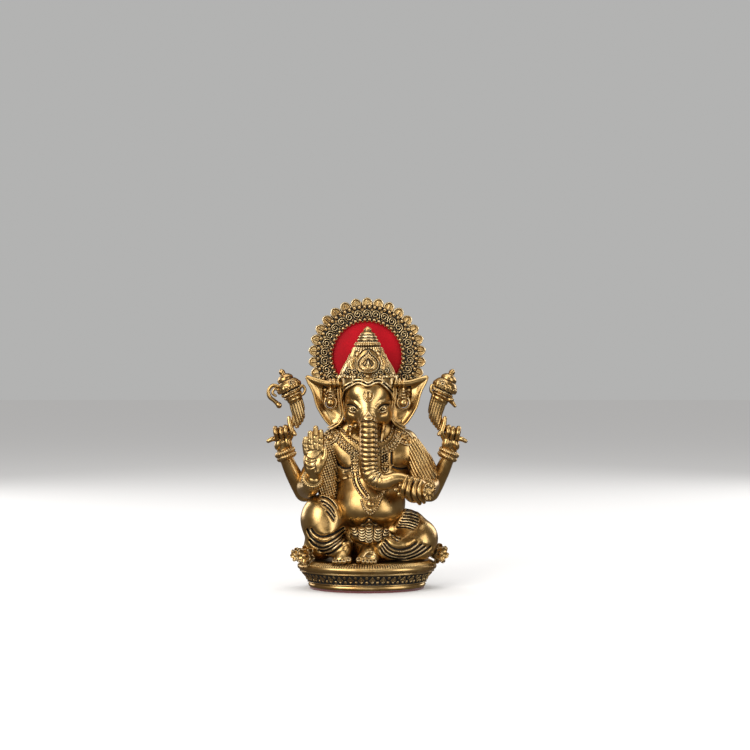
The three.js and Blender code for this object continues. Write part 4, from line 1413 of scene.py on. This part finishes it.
def raised_hand():
    """The palm turned to the viewer, fingers up and close together."""
    clay = Clay.around("front_right_hand", FINE, (4, 5, 5))
    y = -27.0
    clay.ball((-40.6, y + 0.6, 101.5), (8.2, 4.4, 10.0), blend=0)
    clay.ball((-40.6, y + 1, 108.5), (8.0, 3.8, 5.0), blend=2)
    clay.tube([(-41, y + 4, 85, 4.8), (-40.6, y + 2.6, 91, 5.2), (-40.4, y + 1.4, 97, 5.8)], blend=3)
    clay.ball((-36.0, y - 1.6, 98.5), (3.6, 3.6, 6.6), (0, 14, 0), blend=1.4)
    clay.ball((-45.2, y - 1.4, 98), (2.9, 3.0, 7.4), (0, -6, 0), blend=1.4)
    fingers = [
        [(-46.3, 107.4, 2.5), (-47.2, 113.8, 2.4), (-46.8, 117.9, 2.0)],
        [(-42.7, 108.9, 2.6), (-43.3, 116.8, 2.5), (-43.2, 122.4, 2.1)],
        [(-39.0, 109.4, 2.6), (-39.2, 119.0, 2.55), (-39.1, 126.2, 2.1)],
        [(-35.4, 108.9, 2.5), (-35.2, 117.0, 2.45), (-35.1, 123.4, 2.0)],
    ]
    for finger in fingers:
        stations = [(fx, y - 0.4 - 0.5 * k, fz, r) for k, (fx, fz, r) in enumerate(finger)]
        clay.tube(stations, blend=0.35)
    thumb = [(-37.3, 93.4, 3.0), (-34.4, 98.8, 2.8), (-32.0, 104.6, 2.3), (-31.8, 109.7, 1.7)]
    clay.tube([(tx, y - 2.0, tz, r) for tx, tz, r in thumb], blend=0.8)
    palm_lines = [
        [(-47.0, 105.5), (-43, 102.5), (-38.6, 103.4), (-35.4, 107.0)],
        [(-47.0, 101.2), (-42.5, 99.9), (-38.0, 101.6)],
        [(-46.4, 97.0), (-42.5, 95.8), (-38.6, 97.4)],
        [(-38.0, 105.0), (-39.6, 99.2), (-38.8, 92.6)],
        [(-46.5, 108.4), (-40.5, 109.4), (-34.9, 108.6)],
    ]
    joint_lines = []
    for (root_x, root_z, _), _, (tip_x, tip_z, _) in fingers:
        for share in (0.34, 0.64):
            cx, cz = root_x + (tip_x - root_x) * share, root_z + (tip_z - root_z) * share
            joint_lines.append([(cx - 1.7, cz), (cx, cz - 0.3), (cx + 1.7, cz)])
    clay.engrave(palm_lines, 0.34, 0.6, y + 1, 0.8)
    clay.engrave(joint_lines, 0.3, 0.32, y + 1, 0.8)
    return cast(clay, "front_right_hand")


def sweet_hand():
    """The hand that closes over the sweet: four fingers wrap it and three tips show beyond."""
    clay = Clay.around("front_left_hand", FINE, (6.5, 7, 7))
    clay.ball((38.0, -27, 79), (9.5, 7.5, 9.4), (0, 0, 10), blend=0)
    clay.ball((37.0, -30, 85), (6.5, 6, 4.4), blend=2)
    clay.tube([(45, -18, 79, 6), (42, -24, 79, 6)], blend=3)
    fingers = [
        [(30.9, 89.3, 1.5), (28.5, 83.7, 1.9), (27.1, 78.7, 1.8), (27.5, 73.8, 1.4)],
        [(34.2, 87.9, 1.6), (31.7, 81.6, 1.95), (31.3, 76.8, 1.9), (33.9, 71.2, 1.6)],
        [(38.1, 86.2, 1.6), (35.9, 79.9, 1.95), (36.4, 74.4, 1.9), (40.4, 69.1, 1.6)],
        [(41.7, 85.4, 1.5), (39.7, 80.4, 1.8), (40.2, 75.0, 1.8), (43.7, 70.0, 1.5)],
    ]
    depth = (-35.0, -38.5, -38.8, -33.5)
    for finger in fingers:
        clay.tube([(fx, fy, fz, r) for (fx, fz, r), fy in zip(finger, depth)], blend=0.2)
    for i, (x, z, r) in enumerate([(25.6, 82.7, 1.8), (21.9, 79.4, 1.8), (24.6, 76.3, 1.7)]):
        clay.tube([(x + 5, -34, z + 0.6, r), (x, -36.2 + 0.5 * i, z, r)], blend=0.25)
    return cast(clay, "front_left_hand")


def modak():
    """The sweet, a pleated roll whose end shows as a small rosette."""
    clay = Clay.around("modak", FINE, (5, 5, 5))
    clay.ball((36.5, -29.0, 77.5), (8.8, 5.2, 8.6), (0, -10, 18))
    clay.tube([(38, -30, 77, 6.4), (45.0, -35.0, 77.8, 6.2)], blend=1.5)
    m = rotation((0, 0, 30))
    x, y, z = clay.x - 46.0, clay.y + 38.2, clay.z - 78.4
    u = m[0, 0] * x + m[1, 0] * y
    depth = m[0, 1] * x + m[1, 1] * y
    reach, turn = np.hypot(u / 0.72, z), np.arctan2(u / 0.72, z)
    petals = np.abs(np.cos(turn * 4.5)) ** 0.5
    face = 1.0 * petals * step(reach, 3.4, 4.2) + 1.2 * spiral(u / 0.72, z, 3.6, 1.4, 1, 0.7)
    disc = np.maximum(reach - 6.2 - 0.5 * petals, np.abs(depth) - 1.6 - face * (depth < 0))
    clay.d = meld(clay.d, disc.astype(np.float32) * 0.75, 0.5)
    return cast(clay, "modak")


def rear_hand(side, sign):
    """Fingertips of the upper hand close on the shaft and the little finger points away."""
    name = f"rear_{side}_hand"
    clay = Clay.around(name, FINE, (4, 5, 5))

    def at(*stations):
        return sided(sign, stations)

    clay.tube(at((65.2, 3, 104, 4.8), (65.5, 2.6, 109, 5.4), (66.2, 2, 114, 5.6)), flat=(1, 0.8))
    clay.ball((sign * 62.2, 0.4, 113.6), (3.4, 4.2, 6.0), (0, sign * 14, 0), blend=1.0)
    clay.ball((sign * 69.4, 0.6, 112.8), (3.0, 3.8, 5.0), (0, -sign * 20, 0), blend=1.0)
    clay.tube(
        at(
            (61.4, 0.5, 116.5, 2.5), (58.8, -2.4, 122, 2.2), (60.4, -2.0, 128, 1.9),
            (61.2, -1.0, 133.4, 1.5)
        ),
        blend=0.5
    )
    for kx, kz in ((64.0, 126.2), (67.6, 125.0), (71.8, 125.2)):
        clay.tube(
            at(
                (kx - 0.6, 3, kz - 5.5, 2.1), (kx, -1.6, kz, 2.0), (kx - 0.4, -4.6, kz - 3.4, 1.9),
                (kx - 1.4, -3.4, kz - 7.4, 1.7)
            ),
            blend=0.4,
        )
    clay.tube(at((71, 0, 117, 2.1), (74, -3, 116.8, 1.9), (77.2, -3.4, 115.2, 1.6)), blend=0.5)
    clay.tube(at((58.6, -1, 124, 1.7), (56.4, -3.4, 120.6, 1.6)), blend=0.4)
    return cast(clay, name)


def bracelet(name, turn, rounds=2, gap=3.5):
    """Stacked bangles, each a round ring with a row of beads."""
    low, high = box_mm(name)
    centre = (low + high) / 2
    clay = Clay(low - 3.5, high + 3.5, FINE)
    m = rotation(turn)
    x, y, z = clay.x - centre[0], clay.y - centre[1], clay.z - centre[2]
    u, v, w = (m[0, i] * x + m[1, i] * y + m[2, i] * z for i in range(3))
    reach, around = np.hypot(u, v), np.arctan2(u, v)
    for k in range(rounds):
        level = w - (k - (rounds - 1) / 2) * gap
        bead = 0.35 * np.abs(np.sin(around * 13)) if k else 0.12 * np.sin(around * 30 + level * 3)
        ring = np.hypot(reach - 6.3, level) - 1.9 - bead
        clay.d = meld(clay.d, ring.astype(np.float32), 0.3)
    sleeve = np.maximum(np.abs(reach - 5.4) - 1.1, np.abs(w) - gap * rounds / 2 - 0.8)
    clay.d = meld(clay.d, sleeve.astype(np.float32), 0.3)
    return cast(clay, name)


# ------------------------------------------------------------------ what the hands hold
def bell(clay, root, axis, sign):
    """The domed, gadrooned head of the goad and the noose, on its collar."""
    axis = np.array(axis, float) / np.linalg.norm(axis)
    side = np.cross(axis, (0, 1, 0))
    side /= np.linalg.norm(side)
    front = np.cross(side, axis)
    x, y, z = clay.x - root[0], clay.y - root[1], clay.z - root[2]
    u = x * side[0] + y * side[1] + z * side[2]
    v = x * front[0] + y * front[1] + z * front[2]
    w = x * axis[0] + y * axis[1] + z * axis[2]
    reach, turn = np.hypot(u, v), np.arctan2(u, v)
    outline = [
        (-1, 5.2), (0.6, 6.2), (2.0, 6.0), (2.6, 6.6), (4.0, 7.8), (5.0, 7.0), (6.0, 8.4), (7.6, 8.6),
        (8.4, 7.6), (9.2, 9.4),
        (11.5, 9.8), (14.0, 9.2), (16.2, 7.6), (17.0, 6.2), (17.8, 6.6), (19.6, 6.2), (21.4, 4.4),
        (22.2, 2.6),
        (23.0, 2.2), (24.2, 2.5), (25.4, 2.2), (26.4, 1.2), (27.6, -0.6),
    ]
    heights, radii = zip(*outline)
    radius = np.interp(w.ravel(), heights, radii).reshape(w.shape)
    gadroon = 0.55 * (np.abs(np.sin(turn * 9)) ** 0.6) * step(w, 8.8, 9.6) * (1 - step(w, 12.0, 13.5))
    cord = 0.3 * np.sin(turn * 22 + w * 3) * (step(w, 5.6, 6.2) * (1 - step(w, 7.6, 8.0)))
    d = np.maximum((reach - radius - gadroon - cord) * 0.75, -1.5 - w)
    boss = spiral(u * sign + 3.6, w - 13.4, 2.6, 1.6, 1, 0.45) * (v < 0)
    clay.d = meld(clay.d, (d - 0.8 * boss).astype(np.float32), 0.4)


def leaf_shaft(clay, stations, sign):
    """A bundle of long leaves that taper to a point below."""

    def flutes(along, x, y, z):
        return 0.75 * (np.abs(np.sin((sign * x + 0.28 * (z - 138)) * 1.35)) ** 0.55 - 0.5)

    clay.tube(stations, blend=0.5, ripple=flutes, flat=(1, 0.72))


def goad():
    """A bell-headed rod with a hook that curls outwards, over a bundle of leaves."""
    clay = Clay.around("goad", FINE, 3)
    bell(clay, (-56.4, 2, 147.2), (-0.43, 0, 0.9), 1)
    leaf_shaft(
        clay,
        [(-56.4, 2, 149, 5.0), (-54.6, 2, 141, 5.3), (-53.4, 1.5, 134, 4.2), (-55.0, 1, 126.5, 1.4)], 1
    )
    clay.tube([(-60.5, 2, 124, 1.8), (-57.6, 2, 131, 2.2), (-55.4, 2, 140, 2.6)], blend=0.6)
    hook = [
        (-69.5, -0.5, 157.8, 1.5), (-74.0, -0.5, 158.6, 1.5), (-77.2, -0.5, 154.6, 1.5),
        (-76.4, -0.5, 149.8, 1.6),
        (-72.8, -0.5, 146.8, 1.6), (-69.4, -0.5, 143.6, 1.9),
    ]
    clay.tube(hook, blend=0.4)
    clay.ball((-69.0, -0.6, 143.2), (2.3, 2.1, 2.5), blend=0.3)
    clay.tube(
        [
            (-69.4, -1, 155, 1.0), (-72.6, -1, 155.8, 1.0), (-74.0, -1, 152.6, 1.1),
            (-71.6, -1, 150.6, 1.0)
        ],
        blend=0.2
    )
    curl = [
        (-54.5, 0, 156.5, 1.4), (-50.6, 0, 158.4, 1.3), (-48.6, 0, 155.2, 1.2), (-50.4, 0, 151.6, 1.1),
        (-52.6, 0, 153.0, 1.0)
    ]
    clay.tube(curl, blend=0.3)
    return cast(clay, "goad")


def noose():
    """A bell-headed coil with a short tail, over a bundle of leaves."""
    clay = Clay.around("noose", FINE, 3)
    bell(clay, (56.4, 2, 147.2), (0.43, 0, 0.9), -1)
    leaf_shaft(
        clay, [(57.4, 2, 149.5, 7.0), (54.6, 2, 141, 6.0), (53.6, 1.5, 134, 4.6), (56.8, 1, 125.5, 2.0)],
        -1
    )
    clay.tube([(60.5, 2, 124, 1.8), (57.6, 2, 131, 2.2), (55.4, 2, 140, 2.6)], blend=0.6)
    clay.tube([(62, -0.5, 149.5, 2.4), (66.2, -0.5, 146.2, 1.9), (69.0, -0.5, 142.6, 1.3)], blend=0.5)
    clay.ball((65.6, -1.4, 147.6), (2.6, 2.2, 2.0), blend=0.3)
    curl = [(54.5, 0, 157.5, 1.4), (51.0, 0, 158.6, 1.3), (50.2, 0, 154.6, 1.3), (52.2, 0, 152.0, 1.1)]
    clay.tube(curl, blend=0.3)
    return cast(clay, "noose")


# ------------------------------------------------------------------ legs, feet and cloth
def right_leg():
    """The raised knee under smooth cloth, with slits at the hip and swags under the knee."""
    clay = Clay.around("right_leg", 0.38 * COARSE, (5, 5, 9))
    clay.tube([(-12, 10, 38, 19), (-28, 2, 46, 18), (-33.5, -8, 53.5, 17.4)], blend=0)
    clay.ball((-33.4, -9, 54), (17.2, 16.5, 20.4), (0, -10, 0), blend=4)
    clay.tube([(-34, -13, 45, 13), (-28, -19, 38, 11), (-20, -21, 33, 8.6)], blend=5)
    clay.ball((-37, -5, 33), (12.5, 15, 11), blend=5)
    slits = [
        [(-37.6, 72.9), (-30.3, 71.2), (-25.8, 67.5), (-22.4, 62.1)],
        [(-37.9, 69.8), (-33.2, 69.0), (-28.0, 65.3), (-23.6, 58.7)],
        [(-35.7, 67.1), (-32.2, 66.3), (-27.7, 62.0), (-23.2, 55.0)],
        [(-32.7, 63.2), (-28.8, 59.8), (-24.0, 53.0)],
    ]
    swags = [
        [(-43.4, 50.4), (-41.0, 46.3), (-37.6, 43.7), (-32.7, 43.0), (-25.8, 44.9), (-16.5, 49.5)],
        [(-46.6, 49.8), (-43.5, 42.8), (-38.6, 39.0), (-33.1, 37.9), (-25.8, 40.7), (-16.1, 47.2)],
        [(-45.5, 40.8), (-41.0, 36.3), (-35.7, 34.3), (-30.8, 34.9), (-24.8, 38.1), (-14.0, 45.5)],
        [(-39.0, 32.4), (-33.7, 31.6), (-27.8, 34.0), (-20.6, 39.5), (-13.3, 44.0)],
        [(-33.3, 28.9), (-27.8, 30.2), (-22.0, 34.5), (-12.6, 42.4)],
    ]
    clay.engrave(slits, 0.55, 1.9, -1, 4)
    clay.engrave(swags, 0.8, 2.8, -7, 3)
    return cast(clay, "right_leg")


def left_leg():
    """The folded leg: a stack of folds over the thigh, a smooth knee and a fan of folds below."""
    clay = Clay.around("left_leg", 0.38 * COARSE, (6, 5, 5))
    clay.tube([(14, 8, 40, 19), (30, 3, 42, 18), (38, -6, 39, 16.4)], blend=0)
    clay.ball((40.0, -7, 39.5), (14.8, 15.5, 14.6), (0, 24, 0), blend=4)
    clay.ball((32, -3, 51), (12.6, 13, 11.5), (0, 28, 0), blend=4)
    clay.tube([(40, -13, 35, 11.5), (28, -19.5, 33.5, 10.5), (14, -22, 34, 9.4)], blend=5)
    left_ends = [
        (30.2, 64.0), (29.0, 61.4), (27.8, 59.0), (26.7, 56.8), (25.5, 54.6), (24.3, 52.5), (23.1, 50.5),
        (21.9, 48.4)
    ]
    right_ends = [
        (37.9, 61.0), (39.8, 58.4), (41.2, 56.1), (41.8, 53.9), (41.4, 52.0), (40.4, 50.2), (39.0, 48.6),
        (37.5, 47.2)
    ]
    thigh = [
        [(ax, az), ((ax + bx) / 2, (az + bz) / 2 + 1.1), (bx, bz)]
        for (ax, az), (bx, bz) in zip(left_ends, right_ends)
    ]
    clay.engrave(thigh, 0.5, 2.0, 2, 2.5)
    short = [[(16.2, 44.0), (19.7, 41.6), (24.8, 39.1)], [(13.8, 46.2), (18.9, 43.2), (26.8, 40.9)]]
    clay.engrave(short, 0.5, 1.6, 6, 1.5)
    fan = [
        [(13.0, 41.8), (16.8, 36.7), (21.2, 34.0), (26.1, 33.2), (33.0, 34.8), (39.8, 39.3)],
        [(12.1, 39.3), (16.2, 34.0), (21.2, 31.1), (28.1, 30.3), (35.5, 32.4), (43.7, 38.1)],
        [(10.7, 37.5), (15.0, 31.4), (21.0, 28.2), (29.4, 27.7), (38.4, 30.7), (46.6, 36.5)],
        [(9.5, 35.9), (13.8, 29.3), (21.0, 25.8), (31.4, 25.6), (42.3, 29.7), (50.5, 36.1)],
    ]
    clay.engrave(fan, 0.85, 2.6, -6, 3)
    return cast(clay, "left_leg")


def foot(side):
    """The foot flat on the plinth, toes forward."""
    clay = Clay.around(side + "_foot", FINE, (6, 5, 5))
    top = box_mm("base_plinth")[1][2]
    if side == "right":
        clay.tube([(-16.6, -19, 39, 6.0), (-17.0, -23, 31.5, 5.6), (-18.6, -26.5, 27.4, 5.2)], blend=0)
        clay.ball((-19.4, -28, top + 3.0), (6.4, 5.6, 3.6), blend=3)
        toes = [
            (-25.2, -30.6, 1.5), (-22.9, -32.0, 1.6), (-20.3, -32.8, 1.75), (-17.4, -33.0, 1.9),
            (-13.9, -32.0, 2.5)
        ]
    else:
        clay.tube([(3.6, -17, 36, 6.6), (1.8, -23, 30.5, 7.4), (0.8, -27, 27.4, 6.8)], blend=0)
        clay.ball((0.9, -28.4, top + 3.8), (8.4, 5.4, 4.6), blend=3)
        toes = [
            (-6.2, -32.0, 2.4), (-2.7, -33.4, 1.85), (0.4, -33.8, 1.75), (3.4, -33.4, 1.6),
            (6.2, -32.4, 1.5)
        ]
        clay.ball((2.4, -34.4, 29.0), (4.0, 2.4, 2.4), blend=0.6, cut=True)
        clay.ridge([(-2.4, 28.2, 0.8), (0.6, 31.6, 0.95), (4.6, 31.6, 0.95), (6.8, 28.6, 0.8)], blend=0.2)
    for x, y, r in toes:
        clay.tube([(x * 0.97, y + 4.5, top + 3.0, r), (x, y, top + 0.3 + r * 1.05, r)], blend=0.15)
        clay.ball((x, y - r * 0.65, top + r * 1.75), (r * 0.62, r * 0.55, r * 0.5), blend=0.1, cut=True)
    return cast(clay, side + "_foot")


def dhoti_pleats():
    """Three hanging pleats of nested folds between the knees, and a small one at each side."""
    clay = Clay.around("dhoti_pleats", FINE, (5, 5, 5))
    centre = middle("dhoti_pleats")
    clay.ball(centre + (0, 1.2, 2.4), (16.5, 8.2, 8.6))
    x, z = clay.x[:, 0, :], clay.z[:, 0, :]
    relief = np.zeros(x.shape[:1] + z.shape[1:], np.float32)
    columns = [
        (1.6, 50.5, 3.4, 11.6, 0.0), (-4.1, 49.7, 3.2, 9.4, 0.1), (9.1, 49.7, 3.6, 9.8, -0.1),
        (-10.8, 49.9, 3.0, 5.6, 0.35), (16.2, 49.5, 3.0, 5.6, -0.35)
    ]
    for cx, top, width, fall, lean in columns:
        drop = top - z
        u = (x - cx - lean * drop) / width
        nested = np.abs(np.sin(np.pi * (drop - 2.2 * (1 - u**2)) / 2.1)) ** 0.7
        body = np.sqrt(np.clip(1 - u**2, 0, None)) * step(drop, -1, 0.5) * (
            1 - step(drop, fall - 1.2 * u**2, fall + 0.8)
        )
        relief = np.maximum(relief, body * (1.2 + 1.6 * nested))
    clay.raise_by(relief - 1.1, high_y=-16)
    return cast(clay, "dhoti_pleats")


def rosette(name, tilt):
    """A full-blown lotus on the rim: two rings of cupped petals round a bud."""
    centre = middle(name)
    low, high = box_mm(name)
    size = (high - low)[2] / 2 * (0.78 if name.endswith("rear") else 1.0)
    clay = Clay.around(name, FINE, (4, 5, 3))
    m = rotation((0, 0, tilt))
    x, y, z = clay.x - centre[0], clay.y - centre[1], clay.z - centre[2]
    u, v = m[0, 0] * x + m[1, 0] * y, m[0, 1] * x + m[1, 1] * y
    clay.ball(centre, (size * 0.66, size * 0.5, size * 0.7), (0, 0, tilt))
    reach, turn = np.hypot(u, z), np.arctan2(u, z)
    for share, count, lift, shift in ((0.70, 7, 0.05, 0.0), (0.42, 5, 0.40, 0.5)):
        lap = turn * count / math.tau + shift
        side = (lap - np.round(lap)) * math.tau / count * np.clip(reach, 0.3 * size, None)
        out = (reach - share * size) / (size * 0.30)
        wide = size * 1.9 / count * np.sqrt(np.clip(1.06 - out**2, 0.02, None))
        cup = 0.22 * size * (side / wide) ** 2 + 0.10 * out * size
        depth = v + size * (0.28 + lift) + cup - 0.2 * size
        petal = np.maximum(
            np.maximum(np.abs(side) - wide, np.abs(reach - share * size) - size * 0.30),
            np.abs(depth) - 0.75
        )
        rim = 0.35 * groove(np.minimum(wide - np.abs(side), (1 - np.abs(out)) * size * 0.3) - 0.5, 0.4)
        clay.d = meld(clay.d, ((petal - rim) * 0.7).astype(np.float32), 0.15)
    clay.ball(
        centre + m @ np.array((0, -size * 0.66, 0)), (size * 0.24, size * 0.26, size * 0.24), blend=0.1
    )
    return cast(clay, name)


def right_sash():
    """A fall of cloth with a woven texture behind the raised hand."""
    clay = Clay.around("right_sash", MEDIUM, (8, 7, 4))

    def weave(along, x, y, z):
        long_folds = 0.8 * (np.abs(np.sin((x + 0.2 * z) * 0.52)) ** 0.7)
        checks = 0.6 * np.sin(z * 2.1 + x) * np.sin(x * 2.1 - z)
        return long_folds + checks - 0.4

    stations = [
        (-29, -3, 111, 4.8), (-30, -5, 99, 6.2), (-30.5, -6.5, 87, 7.4), (-31, -7.5, 77, 7.0),
        (-30.5, -8, 67, 5.2)
    ]
    clay.tube(stations, ripple=weave, flat=(1, 0.7))
    return cast(clay, "right_sash")


def left_sash():
    """The cloth that hangs from the left shoulder over the upper arm, in slanting pleats."""
    clay = Clay.around("left_sash", MEDIUM, (6, 6, 8))

    def pleats(along, x, y, z):
        return 1.0 * (np.abs(np.sin(x * 1.2 + z * 0.7 + 0.8 * np.sin(z * 0.16))) ** 0.6 - 0.4)

    clay.tube(
        [(36, -2, 112, 6.0), (41.5, -3, 100, 8.6), (44.0, -4.5, 88, 9.4), (44, -6, 80, 7.6)],
        ripple=pleats, flat=(1, 0.8)
    )
    return cast(clay, "left_sash")


# ------------------------------------------------------------------ the whole idol
def build():
    """Every piece of the idol."""
    base_plinth()
    felt_pad()
    halo_ring()
    halo_disc()
    plain_fitting("halo_tongue")
    halo_bracket()
    for side in ("right", "left"):
        round_head("tongue_rivet_" + side, BRASS, False)
        round_head("bracket_screw_" + side, STEEL, True)
    torso()
    neck_collar()
    long_necklace()
    pendant()
    belly_band()
    head()
    forehead_mark()
    trunk()
    crown_dome()
    crown_band()
    crown_crest()
    crown_finial()
    for side, sign in (("right", -1), ("left", 1)):
        shoulder_ornament(side, sign)
        ear(side, sign)
        earring(side, sign)
        tusk(side)
        rear_arm(side, sign)
        rear_hand(side, sign)
        foot(side)
    front_right_arm()
    front_left_arm()
    raised_hand()
    sweet_hand()
    modak()
    bracelet("front_right_bracelet", (62, 10, 0))
    bracelet("front_left_bracelet", (80, 25, 0))
    bracelet("rear_right_bracelet", (0, -24, 0))
    bracelet("rear_left_bracelet", (0, 24, 0))
    goad()
    noose()
    right_leg()
    left_leg()
    dhoti_pleats()
    rosette("rosette_right_front", -22)
    rosette("rosette_right_rear", -30)
    rosette("rosette_left", 28)
    right_sash()
    left_sash()
    for name in ("body_stud", "body_washer", "body_nut", "neck_dowel"):
        frame["nodes"][name].data.materials.clear()
        frame["nodes"][name].data.materials.append(STEEL)


# ------------------------------------------------------------------ stage, light and camera
def stage():
    """A wide pale floor."""
    corners = np.array([(-9, -9, 0), (9, -9, 0), (9, 9, 0), (-9, 9, 0)], float)
    mesh = mesh_from("floor", corners, np.array([(0, 1, 2, 3)]))
    floor = bpy.data.objects.new("floor", mesh)
    bpy.context.scene.collection.objects.link(floor)
    material, _, shader = new_material("pale_floor")
    shader.inputs["Base Color"].default_value = (0.70, 0.69, 0.68, 1)
    shader.inputs["Roughness"].default_value = 0.9
    shader.inputs["Specular IOR Level"].default_value = 0.0
    floor.data.materials.append(material)
    floor.visible_glossy = False


def softbox(name, place_at, target, width, height, power, colour=(1, 1, 1)):
    """An area lamp that looks at the target."""
    light = bpy.data.lights.new(name, "AREA")
    light.shape = "RECTANGLE"
    light.size, light.size_y = width, height
    light.energy = power
    light.color = colour
    lamp = bpy.data.objects.new(name, light)
    lamp.location = place_at
    lamp.rotation_euler = (Vector(target) - Vector(place_at)).to_track_quat("-Z", "Y").to_euler()
    bpy.context.scene.collection.objects.link(lamp)


def lights():
    """Softboxes round the idol in a pale room that metal sees as dim."""
    target = (0, 0, 0.11)
    softbox("key", (-0.70, -1.0, 0.75), target, 0.8, 1.0, 15, (1.0, 0.98, 0.95))
    softbox("fill", (0.95, -0.90, 0.40), target, 0.6, 1.1, 7)
    softbox("top", (0.0, 0.0, 1.2), target, 1.2, 0.8, 8)
    softbox("low", (-0.15, -1.4, 0.12), target, 1.2, 0.3, 2.2)
    softbox("rim_right", (-0.9, 0.7, 0.5), target, 0.5, 0.9, 5)
    softbox("rim_left", (0.9, 0.8, 0.6), target, 0.5, 0.9, 5)
    world = bpy.data.worlds.new("studio")
    bpy.context.scene.world = world
    world.use_nodes = True
    tree = world.node_tree
    pale = tree.nodes["Background"]
    pale.inputs["Color"].default_value = (0.62, 0.62, 0.62, 1)
    path = node(tree, "ShaderNodeLightPath")
    shown = pale.outputs["Background"]
    for kind, colour in (
        ("Is Glossy Ray", (0.15, 0.13, 0.11, 1)), ("Is Camera Ray", (0.45, 0.45, 0.445, 1))
    ):
        other = node(tree, "ShaderNodeBackground", {"Color": colour, "Strength": 1.0})
        mix = node(tree, "ShaderNodeMixShader")
        tree.links.new(path.outputs[kind], mix.inputs["Fac"])
        tree.links.new(shown, mix.inputs[1])
        tree.links.new(other.outputs["Background"], mix.inputs[2])
        shown = mix.outputs["Shader"]
    tree.links.new(shown, tree.nodes["World Output"].inputs["Surface"])


def camera():
    """Level, straight in front and at the height of the brow."""
    low, high = CAD_BOX
    height = high.z - low.z
    distance, off_centre, eye_level = 1.2, 0.0063, 0.727  # metres, metres, share of the height
    lens = bpy.data.cameras.new("camera")
    lens.lens = 73.4
    eye = bpy.data.objects.new("camera", lens)
    eye.location = (off_centre, -distance, eye_level * height)
    eye.rotation_euler = (math.radians(90), 0, 0)
    bpy.context.scene.collection.objects.link(eye)
    bpy.context.scene.camera = eye


build()
stage()
lights()
camera()
bpy.context.scene.view_settings.view_transform = "Standard"
